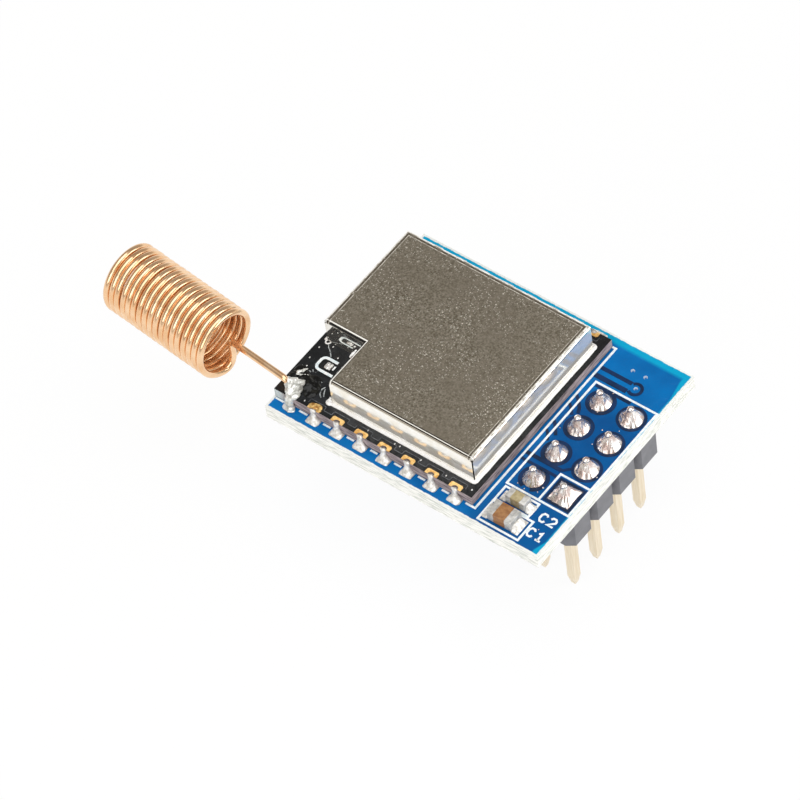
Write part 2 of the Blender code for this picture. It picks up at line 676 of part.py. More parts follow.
def end_fillet(name, face_x, outward, centre_y, width, height, finish):
    """Solder sloping from a capacitor's end face down to its pad."""
    loops = []
    for share in CAPACITOR_FILLET_LEVELS:
        top = PART_SEAT + blend(CAPACITOR_FILLET_TOE, CAPACITOR_FILLET_SHARE * height, (1 - share) ** 2)
        half = width / 2 * (CAPACITOR_FILLET_SPREAD - CAPACITOR_FILLET_NARROWING * share ** 3)
        crest = half * CAPACITOR_FILLET_CREST
        x = face_x + outward * (SEAT_GAP + CAPACITOR_FILLET_REACH * share)
        loops.append([(x, centre_y - half, PART_SEAT), (x, centre_y + half, PART_SEAT),
                      (x, centre_y + crest, top), (x, centre_y - crest, top)])
    lofted(name, loops, finish)


def make_carrier_capacitors(ceramic_1, ceramic_2, solder):
    inner_column_x = -(PIN_COLUMNS - 1) * PIN_PITCH / 2
    size_1 = Vector((CAPACITOR_1_LENGTH, CAPACITOR_1_WIDTH, CAPACITOR_1_HEIGHT))
    size_2 = Vector((CAPACITOR_2_LENGTH, CAPACITOR_2_WIDTH, CAPACITOR_2_HEIGHT))
    parts = (("capacitor_c1", size_1, CAPACITOR_1_BAND, CAPACITOR_1_TO_SIDE, ceramic_1),
             ("capacitor_c2", size_2, CAPACITOR_2_BAND, CAPACITOR_2_TO_SIDE, ceramic_2))
    for name, size, band, to_side, finish in parts:
        centre = (inner_column_x + CAPACITORS_PAST_PINS, CARRIER_Y0 + to_side)
        chip_part(name, centre, size, band, PART_SEAT, finish)
        for end, outward in (("left", -1), ("right", 1)):
            end_fillet(f"{name}_solder_{end}", centre[0] + outward * size.x / 2, outward,
                       centre[1], size.y, size.z, solder)


def block(name, centre, stations, finish):
    """A chip body from stacked rectangles: length, width and height of each level."""
    lofted(name, [rectangle(*centre, length, width, CHIP_SEAT + z) for length, width, z in stations],
           finish)


def chamfered_levels(length, width, height):
    return ((length, width, 0.0), (length, width, height - CHIP_CHAMFER),
            (length - 2 * CHIP_CHAMFER, width - 2 * CHIP_CHAMFER, height))


def make_shielded_chips(plastic, metal, ceramic):
    """Under the can: radio chip, crystal, antenna switch, and their small chip parts."""
    notch_x = SHIELD_X0 + NOTCH_LENGTH + SHIELD_SHEET
    notch_y = SHIELD_Y0 + NOTCH_WIDTH + SHIELD_SHEET
    # The radio chip and the bypass capacitors beside it share the room between the walls
    capacitor_columns = PASSIVE_TO_CHIP + PASSIVE_WIDTH + (BYPASS_COLUMNS - 1) * PASSIVE_LENGTH
    transceiver = ((notch_x + SHIELD_X1 - SHIELD_SHEET - capacitor_columns) / 2,
                   (notch_y + SHIELD_Y1 - SHIELD_SHEET) / 2)
    block("transceiver_chip", transceiver,
          chamfered_levels(TRANSCEIVER_SIDE, TRANSCEIVER_SIDE, TRANSCEIVER_HEIGHT), plastic)
    antenna_switch = (notch_x + SWITCH_TO_WALL + SWITCH_SIDE / 2,
                      SHIELD_Y0 + SHIELD_SHEET + SWITCH_TO_WALL + SWITCH_SIDE / 2)
    block("antenna_switch_chip", antenna_switch,
          chamfered_levels(SWITCH_SIDE, SWITCH_SIDE, SWITCH_HEIGHT), plastic)

    # The crystal lies with its length across the board, in the arm of the can beside the notch
    crystal = (SHIELD_X0 + SHIELD_SHEET + CRYSTAL_TO_WALL + CRYSTAL_WIDTH / 2,
               notch_y + CRYSTAL_TO_WALL + CRYSTAL_LENGTH / 2)
    lid_width = CRYSTAL_WIDTH - 2 * CRYSTAL_LID_MARGIN
    lid_length = CRYSTAL_LENGTH - 2 * CRYSTAL_LID_MARGIN
    shoulder = CRYSTAL_HEIGHT - CRYSTAL_LID_HEIGHT
    block("crystal", crystal,
          ((CRYSTAL_WIDTH, CRYSTAL_LENGTH, 0.0), (CRYSTAL_WIDTH, CRYSTAL_LENGTH, shoulder),
           (lid_width, lid_length, shoulder), (lid_width, lid_length, CRYSTAL_HEIGHT)), metal)

    passive_size = Vector((PASSIVE_LENGTH, PASSIVE_WIDTH, PASSIVE_HEIGHT))
    for i in range(MATCHING_INDUCTORS):
        centre = (antenna_switch[0] + SWITCH_SIDE / 2 + PASSIVE_TO_CHIP + (i + 0.5) * PASSIVE_SPACING,
                  antenna_switch[1])
        chip_part(f"matching_inductor_{i + 1}", centre, passive_size, PASSIVE_BAND, CHIP_SEAT,
                  ceramic, along_y=True)
    for i in range(BYPASS_ROWS * BYPASS_COLUMNS):
        row, column = divmod(i, BYPASS_COLUMNS)
        beside = TRANSCEIVER_SIDE / 2 + PASSIVE_TO_CHIP + PASSIVE_WIDTH / 2
        centre = (transceiver[0] + beside + column * PASSIVE_LENGTH,
                  transceiver[1] + (row - (BYPASS_ROWS - 1) / 2) * PASSIVE_SPACING)
        chip_part(f"bypass_capacitor_{i + 1}", centre, passive_size, PASSIVE_BAND, CHIP_SEAT,
                  ceramic, along_y=True)


def make_module():
    clear_scene()
    blue_board = material("blue_solder_mask", (0.005, 0.13, 0.42), 0.35)
    black_board = material("black_solder_mask", (0.012, 0.013, 0.014), 0.35)
    plastic = material("dark_grey_plastic", (0.075, 0.077, 0.085), 0.55)
    pin_plating = material("pale_gold_plating", (0.72, 0.62, 0.45), 0.3, 1.0)
    solder = material("solder", (0.66, 0.66, 0.65), 0.3, 1.0)
    can_sheet = material("nickel_silver_sheet", (0.35, 0.32, 0.28), 0.32, 1.0)
    copper = material("copper_wire", (0.78, 0.40, 0.20), 0.25, 1.0)
    tan_ceramic = material("orange_tan_ceramic", (0.48, 0.23, 0.07), 0.5)
    pale_ceramic = material("pale_tan_ceramic", (0.50, 0.42, 0.24), 0.5)
    chip_plastic = material("chip_plastic", (0.02, 0.02, 0.02), 0.5)
    lid_metal = material("crystal_lid", (0.6, 0.55, 0.45), 0.35, 1.0)
    part_ceramic = material("part_ceramic", (0.35, 0.27, 0.18), 0.5)

    make_carrier_board(blue_board)
    make_header_housing(plastic)
    make_header_pins(pin_plating)
    make_header_solder(solder)
    make_module_board(black_board)
    make_edge_solder(solder)
    make_shield_can(can_sheet)
    make_seam_solder(solder)
    make_antenna(copper)
    make_antenna_solder(solder)
    make_carrier_capacitors(tan_ceramic, pale_ceramic, solder)
    make_shielded_chips(chip_plastic, lid_metal, part_ceramic)


make_module()
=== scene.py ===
import math

import bmesh
import bpy
from mathutils import Matrix, Vector, noise


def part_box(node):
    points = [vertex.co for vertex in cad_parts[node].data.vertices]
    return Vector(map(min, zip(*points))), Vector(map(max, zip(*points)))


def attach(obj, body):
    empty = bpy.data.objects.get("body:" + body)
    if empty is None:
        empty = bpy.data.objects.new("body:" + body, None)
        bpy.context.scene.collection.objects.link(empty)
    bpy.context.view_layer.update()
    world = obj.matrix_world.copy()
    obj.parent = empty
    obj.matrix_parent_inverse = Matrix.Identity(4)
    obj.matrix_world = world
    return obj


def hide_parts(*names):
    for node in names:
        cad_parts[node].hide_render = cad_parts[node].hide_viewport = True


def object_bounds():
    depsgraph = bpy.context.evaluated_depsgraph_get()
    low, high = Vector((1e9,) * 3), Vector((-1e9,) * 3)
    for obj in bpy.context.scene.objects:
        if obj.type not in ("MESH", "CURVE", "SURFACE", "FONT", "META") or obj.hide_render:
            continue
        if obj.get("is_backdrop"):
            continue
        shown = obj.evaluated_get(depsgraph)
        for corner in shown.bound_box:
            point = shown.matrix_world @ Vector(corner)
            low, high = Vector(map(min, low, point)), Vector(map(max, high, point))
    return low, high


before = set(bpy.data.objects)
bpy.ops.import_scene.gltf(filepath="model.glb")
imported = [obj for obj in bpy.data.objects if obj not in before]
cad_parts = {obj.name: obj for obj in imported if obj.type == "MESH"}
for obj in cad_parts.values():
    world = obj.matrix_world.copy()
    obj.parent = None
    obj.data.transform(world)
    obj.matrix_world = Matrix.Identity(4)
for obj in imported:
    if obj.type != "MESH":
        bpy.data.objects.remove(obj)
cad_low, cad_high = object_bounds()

# ---- Carrier board ----
# A piece of FR4 glass-fibre board with blue solder mask sprayed over its copper. The mask is
# glossy and stops just short of the board's edge; where no copper lies under it, it is thin and
# cyan. The rim and the sawn edges show bare pale glass and resin in fine layers.
MM = 0.001


def linear(code):
    """An sRGB hex colour, such as 1171B8, as linear red, green, blue and alpha."""
    channels = [int(code[i:i + 2], 16) / 255 for i in (0, 2, 4)]
    return (*(c / 12.92 if c <= 0.04045 else ((c + 0.055) / 1.055) ** 2.4 for c in channels), 1.0)


def feed(node, *values, **named):
    """Fill a node's inputs: those in use in their order, or by name, with _ for a space. A value
    is plain, a hex colour, a socket, or a node, which gives its first output in use."""
    in_use = [socket for socket in node.inputs if socket.enabled][:len(values)]
    by_name = [node.inputs[name.replace("_", " ")] for name in named]
    for socket, value in zip(in_use + by_name, (*values, *named.values())):
        if isinstance(value, bpy.types.Node):
            value = next(output for output in value.outputs if output.enabled)
        if isinstance(value, bpy.types.NodeSocket):
            node.id_data.links.new(value, socket)
        else:
            socket.default_value = linear(value) if isinstance(value, str) else value


def add_node(tree, kind, *values, **named):
    """Add a node. A kind in capitals is what a Math node does, and a Mix is one of colours. Names
    in lower case are settings, and the rest fills the inputs."""
    if kind.isupper():
        kind, named["operation"] = "Math", kind
    if kind == "Mix":
        named.setdefault("data_type", "RGBA")
    node = tree.nodes.new("ShaderNode" + kind)
    for name in filter(str.islower, named):
        setattr(node, name, named[name])
    feed(node, *values, **{name: named[name] for name in named if not name.islower()})
    return node


def start_finish(name, roughness, metallic=0.0, shine=0.5):
    """A new finish, with its node tree, its shader and the place of each point, in metres."""
    finish = bpy.data.materials.new(name)
    finish.use_nodes = True
    tree = finish.node_tree
    shader = tree.nodes["Principled BSDF"]
    feed(shader, Roughness=roughness, Metallic=metallic, Specular_IOR_Level=shine)
    return finish, tree, shader, add_node(tree, "TexCoord")


def patches(place, size, low=0.35, high=0.65, detail=2.0, stretch=(1.0, 1.0, 1.0)):
    """Soft patches of a size in millimetres, spread from nought to one."""
    tree = place.id_data
    spread = add_node(tree, "Mapping", Vector=place.outputs["Object"], Scale=stretch)
    cloud = add_node(tree, "TexNoise", Vector=spread, Scale=1 / (size * MM), Detail=detail)
    return add_node(tree, "MapRange", cloud, low, high)


def mottled(place, size, dark, pale, *spread):
    """A colour that wanders between two hex colours. The rest is as for patches."""
    share = patches(place, size, *spread)
    return add_node(place.id_data, "Mix", share, dark, pale)


def relief(shader, place, *layers):
    """Bumps laid on each other, each with a grain size or its own height, and a depth in mm."""
    below = {}
    for grain, depth in layers:
        height = patches(place, grain, 0.2, 0.8) if isinstance(grain, float) else grain
        bump = add_node(place.id_data, "Bump", Height=height, Distance=depth * MM, Strength=1.0,
                        **below)
        below = {"Normal": bump}
    feed(shader, **below)


def level_share(place, low=0.5, high=0.6):
    """One where the surface lies flat, nought on upright sides."""
    tree = place.id_data
    normal = add_node(tree, "SeparateXYZ", place.outputs["Normal"])
    level = add_node(tree, "ABSOLUTE", normal.outputs["Z"])
    return add_node(tree, "MapRange", level, low, high)


def beyond(value, edge, width):
    """Nought below an edge less a width, one above the edge. All in millimetres."""
    return add_node(value.id_data, "MapRange", value, (edge - width) * MM, edge * MM)


def board_finish(shader, place, top, edge, layer, low, roughness, grain, depth):
    """Put a tone on a board's flat faces, and another with the cloth's layers on its edges.
    Roughness is given for edges and faces, grain is the faces' and depth the layers'."""
    tree = place.id_data
    level = level_share(place)
    surface = add_node(tree, "Mix", level, edge, top)
    gloss = add_node(tree, "MapRange", level, To_Min=roughness[0], To_Max=roughness[1])
    feed(shader, Base_Color=surface, Roughness=gloss)
    layers = patches(place, layer, low, 0.7, 3.0, ALONG_THE_CLOTH)
    rough_edge = add_node(tree, "SUBTRACT", layers, level)
    relief(shader, place, (grain, 0.003), (rough_edge, depth))


def dress(name, finish):
    """Give a finish to one of the part's own solids."""
    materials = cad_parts[name].data.materials
    materials.clear()
    materials.append(finish)


carrier_low, carrier_high = (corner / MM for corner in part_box("carrier_board"))
MASK_INSET = 0.13
RAG_SIZE, RAG_DEPTH = 0.3, 0.04
CYAN_RIGHT = 0.05
CYAN_CORNER = 0.3
# How strongly the painted shade darkens the blue round the header
HEADER_SHADE_SHARE = 0.6
GLASS_LAYER = 0.11
ALONG_THE_CLOTH = (0.14, 0.14, 1.0)
# Where the mask's tone changes: past which line along an axis, and over how wide a step
TONE_STEPS = {"far_band": ("Y", carrier_high.y - 0.5, 0.28),
              "far_corner": ("Y", carrier_high.y - 0.9, 1.6),
              "off_near_corner": ("Y", carrier_low.y + 1.3, 0.9),
              "right_side": ("X", 0.5, 0.5),
              "shade_far_end": ("Y", 6.2, 3.5),
              "shade_header_side": ("X", -2.2, 1.4)}

blue_mask, tree, shader, place = start_finish("blue_solder_mask_on_glass_board", 0.3, shine=0.16)
axes = add_node(tree, "SeparateXYZ", place.outputs["Object"])

# How far each point lies past the board's edges, along and across: nought at the edge itself
middle = (carrier_low + carrier_high) / 2
half = (carrier_high - carrier_low) / 2
past = []
for index, axis in enumerate("XY"):
    shifted = add_node(tree, "SUBTRACT", axes.outputs[axis], middle[index] * MM)
    outward = add_node(tree, "ABSOLUTE", shifted)
    past.append(add_node(tree, "SUBTRACT", outward, half[index] * MM))
outside = add_node(tree, "MAXIMUM", *past)
ragged = add_node(tree, "MULTIPLY_ADD", patches(place, RAG_SIZE), RAG_DEPTH * MM, outside)
bare_rim = beyond(ragged, RAG_DEPTH / 2 - MASK_INSET, 0.05)
step = {name: beyond(axes.outputs[axis], edge, width)
        for name, (axis, edge, width) in TONE_STEPS.items()}

# Cyan margins: a band along the far edge, a thin line along the right one, wider in its corners
near_corner = add_node(tree, "SUBTRACT", 1.0, step["off_near_corner"])
corner = add_node(tree, "MAXIMUM", step["far_corner"], near_corner)
wider = add_node(tree, "MULTIPLY_ADD", corner, CYAN_CORNER * MM, past[0])
cyan_right = beyond(wider, -MASK_INSET - CYAN_RIGHT, 0.12)
cyan_right = add_node(tree, "MULTIPLY", cyan_right, step["right_side"])
cyan = add_node(tree, "MAXIMUM", step["far_band"], cyan_right)

# Painted shade: the blue darkens toward navy round the header, standing for the shadow and dim
# reflections there
painted_header_shade = add_node(tree, "SUBTRACT", 1.0, step["shade_far_end"])
for share in (step["shade_header_side"], HEADER_SHADE_SHARE):
    painted_header_shade = add_node(tree, "MULTIPLY", painted_header_shade, share)
topside = mottled(place, 3.2, "005A9E", "0076BF", 0.3, 0.7)
for share, tone in ((painted_header_shade, "00417E"), (cyan, "00A2CE"), (bare_rim, "F0F3F0")):
    topside = add_node(tree, "Mix", share, topside, tone)
sawn_glass = mottled(place, GLASS_LAYER, "C9CFC8", "FCFDF9", 0.28, 0.58, 3.0, ALONG_THE_CLOTH)
board_finish(shader, place, topside, sawn_glass, GLASS_LAYER, 0.28, (0.75, 0.28), 0.45, 0.02)
dress("carrier_board", blue_mask)

# ---- Printed circuit under the blue mask ----
# Etched gaps in the copper, where the mask dips and looks navy: rings round the header pads, and
# the gaps along a few traces. Drawn as thin flush strips, each a hair higher than the last.
BOARD_TOP = carrier_high.z
PRINT_SINK = 0.01


def make_object(name, shape, finish, smooth=False):
    """Turn a shape drawn in millimetres into an object."""
    bmesh.ops.recalc_face_normals(shape, faces=shape.faces)
    mesh = bpy.data.meshes.new(name)
    shape.to_mesh(mesh)
    shape.free()
    mesh.transform(Matrix.Scale(MM, 4))
    mesh.materials.append(finish)
    if smooth:
        mesh.shade_smooth()
    made = bpy.data.objects.new(name, mesh)
    bpy.context.scene.collection.objects.link(made)
    return made


def make_piece(name, shape, finish, slot, *stands_for, smooth=False):
    """Turn a shape into a piece that rides on the part, and may stand for some of its solids."""
    piece = make_object(name, shape, finish, smooth)
    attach(piece, "root")
    if stands_for:
        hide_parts(*stands_for)


def plain_finish(name, roughness, colours, grain, metallic=0.0, shine=0.5):
    """A finish with one mottled colour and one layer of relief."""
    finish, tree, shader, place = start_finish(name, roughness, metallic, shine)
    feed(shader, Base_Color=mottled(place, *colours))
    relief(shader, place, grain)
    return finish


def skin(shape, loops, closed=False):
    """Skin a row of outlines that have the same number of points, and cap its ends."""
    rings = [[shape.verts.new(point) for point in loop] for loop in loops]
    pairs = list(zip(rings, rings[1:])) + ([(rings[-1], rings[0])] if closed else [])
    count = len(rings[0])
    for ring, following in pairs:
        for i in range(count):
            j = (i + 1) % count
            shape.faces.new((ring[i], ring[j], following[j], following[i]))
    if not closed:
        shape.faces.new(reversed(rings[0]))
        shape.faces.new(rings[-1])


def strip(shape, route, width, low, high, closed=False):
    """A flat line of ink or copper along a route, with mitred corners."""
    points = [Vector(point) for point in route]
    loops = []
    for i, point in enumerate(points):
        ways = []
        if closed or i > 0:
            ways.append((point - points[i - 1]).normalized())
        if closed or i < len(points) - 1:
            ways.append((points[(i + 1) % len(points)] - point).normalized())
        along = sum(ways, Vector((0.0, 0.0))).normalized()
        side = Vector((-along.y, along.x))
        reach = side * (width / 2 / max(0.5, abs(along.dot(ways[0]))))
        a, b = point + reach, point - reach
        loops.append([(a.x, a.y, low), (b.x, b.y, low), (b.x, b.y, high), (a.x, a.y, high)])
    skin(shape, loops, closed)


def plate(shape, outline, low, high):
    """A flat plate with an outline, between two heights."""
    skin(shape, [[(x, y, z) for x, y in outline] for z in (low, high)])


def arc(centre_x, centre_y, radius, start=0.0, end=360.0, steps=32):
    """Points of an arc, with both ends unless it is a whole circle."""
    whole = abs(end - start) >= 360
    for i in range(steps if whole else steps + 1):
        angle = math.radians(start + (end - start) * i / steps)
        yield (centre_x + radius * math.cos(angle), centre_y + radius * math.sin(angle))


def rounded_box(x0, y0, x1, y1, radius, steps=4):
    """Outline of a rectangle with rounded corners."""
    outline = []
    for x, y, start in ((x1 - radius, y1 - radius, 0), (x0 + radius, y1 - radius, 90),
                        (x0 + radius, y0 + radius, 180), (x1 - radius, y0 + radius, 270)):
        outline += arc(x, y, radius, start, start + 90, steps)
    return outline


PIN_PITCH = 2.54
PAD_RADIUS = 0.78
CLEARANCE_RADIUS = 1.08
GAP_BASE, GAP_STEP = 0.004, 0.0015

# The navy is partly the gaps' own tone and partly painted shade, deepened for the dark solder cones
# mirrored beside them
navy_mask = plain_finish("navy_solder_mask_deepened_by_painted_shade", 0.32, (0.9, "04203F", "0A2E5A"),
                         (0.45, 0.003), shine=0.3)

pin_places = [((column - 0.5) * PIN_PITCH, (row - 1.5) * PIN_PITCH)
              for row in range(4) for column in range(2)]
ring_middle = (PAD_RADIUS + CLEARANCE_RADIUS) / 2
ring_width = CLEARANCE_RADIUS - PAD_RADIUS
gap_lines = []
for number, (x, y) in enumerate(pin_places, start=1):
    if number == 1:
        # This pad is joined to the copper above and below by two spokes
        gap_lines += [(list(arc(x, y, ring_middle, start, start + 144)), ring_width, False)
                      for start in (-72, 108)]
    elif number == 2:
        square = [(x + ring_middle * across, y + ring_middle * up)
                  for across, up in ((-1, -1), (1, -1), (1, 1), (-1, 1))]
        gap_lines.append((square, ring_width, True))
    else:
        gap_lines.append((list(arc(x, y, ring_middle)), ring_width, True))
gap_lines += [(route, width, False) for route, width in (
    (((-3.0, 6.25), (-0.42, 6.25)), 0.32),
    (((-3.0, 5.52), (-0.38, 5.52)), 0.4),
    (list(arc(0.02, 5.97, 0.47, -135, 140)), 0.24),
    (((-2.42, 4.82), (0.45, 4.82)), 0.24),
    (((-3.02, 3.44), (-2.62, 3.08), (-2.2, 2.62), (-2.02, 2.2)), 0.24),
    (((-3.02, 2.62), (-2.62, 2.24), (-2.3, 1.9)), 0.22),
    (((-3.02, 0.85), (-2.7, 0.55), (-2.2, -0.1)), 0.24),
    (((-3.02, 0.0), (-2.75, -0.25), (-2.4, -0.75)), 0.2),
    (((-3.02, -2.28), (-0.12, -2.28)), 0.3),
    (((-0.12, -2.28), (0.42, -1.75)), 0.2),
    (((-3.02, -2.86), (-0.12, -2.86)), 0.22),
)]
gaps = bmesh.new()
for index, (route, width, closed) in enumerate(gap_lines):
    strip(gaps, route, width, BOARD_TOP - PRINT_SINK, BOARD_TOP + GAP_BASE + GAP_STEP * index,
          closed)
make_piece("carrier_copper_gaps", gaps, navy_mask, "blue_solder_mask")

# ---- White print on the carrier board ----
# Epoxy ink screened on the cured mask: the outline that the radio board is laid on, the header's
# frame, and the frames and numbers of the two capacitors. The ink is matte and a little proud.
INK_LOW, INK_HIGH = BOARD_TOP - PRINT_SINK, BOARD_TOP + 0.036
INK_WIDTH, DASH_WIDTH = 0.155, 0.14
MODULE_LINE_X = -3.1
MODULE_LINE_NEAR = -7.94
LETTER_WIDTH, LETTER_HEIGHT, LETTER_STROKE = 0.44, 0.66, 0.145
FIRST_LETTER_X, LETTER_STEP = 0.98, 0.73
# The strokes of each character, as shares of its width and height
CHARACTERS = {
    "C": [((1.0, 0.8), (0.78, 1.0), (0.28, 1.0), (0.0, 0.74), (0.0, 0.26), (0.28, 0.0),
           (0.78, 0.0), (1.0, 0.2))],
    "2": [((0.0, 0.78), (0.24, 1.0), (0.76, 1.0), (1.0, 0.78), (1.0, 0.58), (0.0, 0.0),
           (1.05, 0.0))],
    "1": [((0.1, 0.76), (0.52, 1.0), (0.52, 0.0)), ((0.08, 0.0), (1.0, 0.0))],
}
white_ink = plain_finish("screened_white_epoxy_ink", 0.6, (0.25, "DDEEF3", "FCFEFE", 0.3, 0.6),
                         (0.06, 0.004))

carrier_print = bmesh.new()
for route, closed in (
        (((-3.4, 8.07), (MODULE_LINE_X, 8.07), (MODULE_LINE_X, MODULE_LINE_NEAR),
          (-3.88, MODULE_LINE_NEAR)), False),
        (((-2.58, -5.08), (2.48, -5.08), (2.48, 5.05), (-2.58, 5.05)), True),
        (((0.02, -5.0), (0.02, -2.54), (2.42, -2.54)), False),
        (((-2.47, -5.35), (0.3, -5.35), (0.3, -6.58), (-2.47, -6.58)), True),
        (((-2.47, -6.74), (0.84, -6.74), (0.84, -8.5), (-2.47, -8.5)), True)):
    strip(carrier_print, route, INK_WIDTH, INK_LOW, INK_HIGH, closed)
for x0, x1 in ((-20.07, -19.36), (-18.02, -17.32), (-15.96, -15.32), (-13.93, -13.32),
               (-11.91, -11.32), (-9.9, -9.3), (-7.88, -7.29), (-5.88, -5.27)):
    strip(carrier_print, ((x0, MODULE_LINE_NEAR), (x1, MODULE_LINE_NEAR)), DASH_WIDTH,
          INK_LOW, INK_HIGH)
for word, baseline in (("C2", -6.42), ("C1", -7.82)):
    for index, character in enumerate(word):
        left = FIRST_LETTER_X + LETTER_STEP * index
        for stroke in CHARACTERS[character]:
            strip(carrier_print,
                  [(left + LETTER_WIDTH * x, baseline + LETTER_HEIGHT * y) for x, y in stroke],
                  LETTER_STROKE, INK_LOW, INK_HIGH)
make_piece("carrier_print", carrier_print, white_ink, "blue_solder_mask")

# ---- Header housing ----
# Moulded dark grey plastic, glass filled, straight from the tool: satin faces with a faint
# flow texture.
header_plastic = plain_finish("moulded_grey_pbt", 0.42, (0.8, "67686E", "75767C", 0.3, 0.7),
                              (0.12, 0.005))
dress("header_housing", header_plastic)

# ---- Header pins ----
# Square drawn brass with a thin pale gold flash, cut and swaged to a blunt point. The flash is
# matte along the pin, with fine drawing lines.
ALONG_THE_PIN = (1.0, 1.0, 0.05)
pin_flash, tree, shader, place = start_finish("pale_gold_flash_on_drawn_brass", 0.34, 0.75)
feed(shader, Base_Color=mottled(place, 0.09, "E6D6B8", "F3E7D0", 0.3, 0.7, 2.0, ALONG_THE_PIN))
drawing_lines = patches(place, 0.07, 0.3, 0.7, 2.0, ALONG_THE_PIN)
relief(shader, place, (drawing_lines, 0.002))
for number in range(1, 9):
    dress(f"header_pin_{number}", pin_flash)

# ---- Header solder ----
# Tin alloy melted by hand round each pin: a bright cone on its pad, smooth on the side where the
# iron left it and creased on the other, with a round nub over the pin's cut end. Its pinkish
# patches between the bright grains are a painted reflection of the warm room. The second joint
# sits on a square pad.
CONE_NECK = 0.98
CONE_NECK_RADIUS = 0.22
NUB_RADIUS = 0.24
HOLE_RADIUS = 0.49
CONE_SEAT = 0.012
CONE_POINTS = 64
CONE_LEVELS = 16
SQUARE_PAD = 2
FACET_ANGLE = 8
FACET_HALF_WIDTH = 38
FACET_DEPTH = 0.9
CREASE_ANGLE, CREASE_TWIST = 52, 14
CREASE_WIDTH, CREASE_DEPTH = 7, 0.17
ROUGH_SIDE = 215
CONE_FEET = (0.9, 0.83)
# Height over the neck, and share of the nub's radius
NUB_LEVELS = ((0.05, 0.9), (0.1, 1.0), (0.16, 1.0), (0.21, 0.88), (0.25, 0.62), (0.27, 0.25))


def solder_finish(name, dark, pale, patch, roughness, wave=0.02, grain=0.004, metallic=0.7):
    """Frozen solder: bright metal with duller patches and a fine frosted grain."""
    finish, tree, shader, place = start_finish(name, roughness, metallic)
    bright = patches(place, patch, 0.38, 0.6, 3.0)
    feed(shader, Base_Color=add_node(tree, "Mix", bright, dark, pale),
         Roughness=add_node(tree, "MapRange", bright, To_Min=roughness + 0.12, To_Max=roughness))
    relief(shader, place, (0.2, wave), (0.05, grain))
    return finish


def cone_reach(number, angle, share, foot):
    """How far a cone reaches from its pin: smooth to the right, creased and rough to the left."""
    reach = CONE_NECK_RADIUS + (foot - CONE_NECK_RADIUS) * (1 - share) ** 1.05
    if number == SQUARE_PAD:
        # The foot reaches into the pad's corners and rounds off on the way up
        square_reach = 1 / max(abs(math.cos(angle)), abs(math.sin(angle)))
        reach *= 1 + (square_reach - 1) * (1 - share) ** 2
    body = math.sin(math.pi * min(1.0, 0.08 + share * 0.9))
    # One flat facet faces the header's end, with a sharp crease on its near side from nub to foot
    apart = abs((math.degrees(angle) - FACET_ANGLE + 180) % 360 - 180)
    if apart < FACET_HALF_WIDTH:
        flat = math.cos(math.radians(FACET_HALF_WIDTH)) / math.cos(math.radians(apart))
        reach *= 1 - FACET_DEPTH * body * (1 - flat)
    crease = (math.degrees(angle) + CREASE_ANGLE - CREASE_TWIST * share + 180) % 360 - 180
    reach *= 1 - CREASE_DEPTH * body * math.exp(-(crease / CREASE_WIDTH) ** 2)
    rough = max(0.0, math.cos(angle - math.radians(ROUGH_SIDE)))
    swell = noise.noise(Vector((2.6 * math.cos(angle), 2.6 * math.sin(angle),
                                number * 7 + 2.4 * share)))
    fold = abs(noise.noise(Vector((5.2 * math.cos(angle), 5.2 * math.sin(angle),
                                   number * 5 + 3.5 * share))))
    return reach * (1 + body * (0.05 * swell + rough * (0.14 * swell - 0.2 * fold)))


# Its pinkish grey patches are a painted reflection of the warm room
header_tin = solder_finish("hand_soldered_tin_with_painted_reflection", "D9C5BE", "FAF8F6", 0.45, 0.12, 0.006,
                           0.0004, 0.9)
for number, (x, y) in enumerate(pin_places, start=1):
    foot = CONE_FEET[number % 2]
    cone = bmesh.new()
    loops = [[(px, py, BOARD_TOP + up) for px, py in arc(x, y, HOLE_RADIUS, steps=CONE_POINTS)]
             for up in (-0.3, CONE_SEAT)]
    for step in range(CONE_LEVELS + 1):
        share = step / CONE_LEVELS
        z = BOARD_TOP + CONE_SEAT + CONE_NECK * share ** 1.05
        loop = []
        for i in range(CONE_POINTS):
            angle = 2 * math.pi * i / CONE_POINTS
            reach = cone_reach(number, angle, share, foot)
            loop.append((x + reach * math.cos(angle), y + reach * math.sin(angle), z))
        loops.append(loop)
    for up, share in NUB_LEVELS:
        loops.append([(px, py, BOARD_TOP + CONE_NECK + up)
                      for px, py in arc(x, y, NUB_RADIUS * share, steps=CONE_POINTS)])
    skin(cone, loops)
    make_piece(f"header_joint_{number}", cone, header_tin, "solder", f"header_solder_{number}",
               smooth=True)

# Small balls of solder that spattered round the pads while the header was soldered by hand
BALL_PLACES = (
    (-0.28, -4.12, 0.07), (2.22, -1.45, 0.05), (0.2, 1.95, 0.06), (-2.3, 0.55, 0.05),
    (1.2, 2.5, 0.045), (-1.0, 4.86, 0.06), (-1.45, 3.02, 0.06), (-0.98, 3.0, 0.05),
    (-2.05, 4.55, 0.05), (0.33, 0.62, 0.05), (-1.95, -4.72, 0.05), (-0.4, -4.6, 0.05),
    (-1.3, -4.86, 0.05), (1.5, -7.05, 0.05), (-2.1, -5.9, 0.08))
balls = bmesh.new()
for x, y, radius in BALL_PLACES:
    bmesh.ops.create_icosphere(balls, subdivisions=2, radius=radius,
                               matrix=Matrix.Translation((x, y, BOARD_TOP + radius * 0.7)))
make_piece("header_solder_balls", balls, header_tin, "solder", smooth=True)

# ---- Radio board ----
# Thin FR4 board with black solder mask, glossy over its copper. Its routed edges are rough, in
# greyish pink layers where resin and glass show, and paler toward the antenna's end.
module_low, module_high = (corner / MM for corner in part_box("module_board"))
MODULE_TOP = module_high.z
CLOTH_LAYER = 0.14

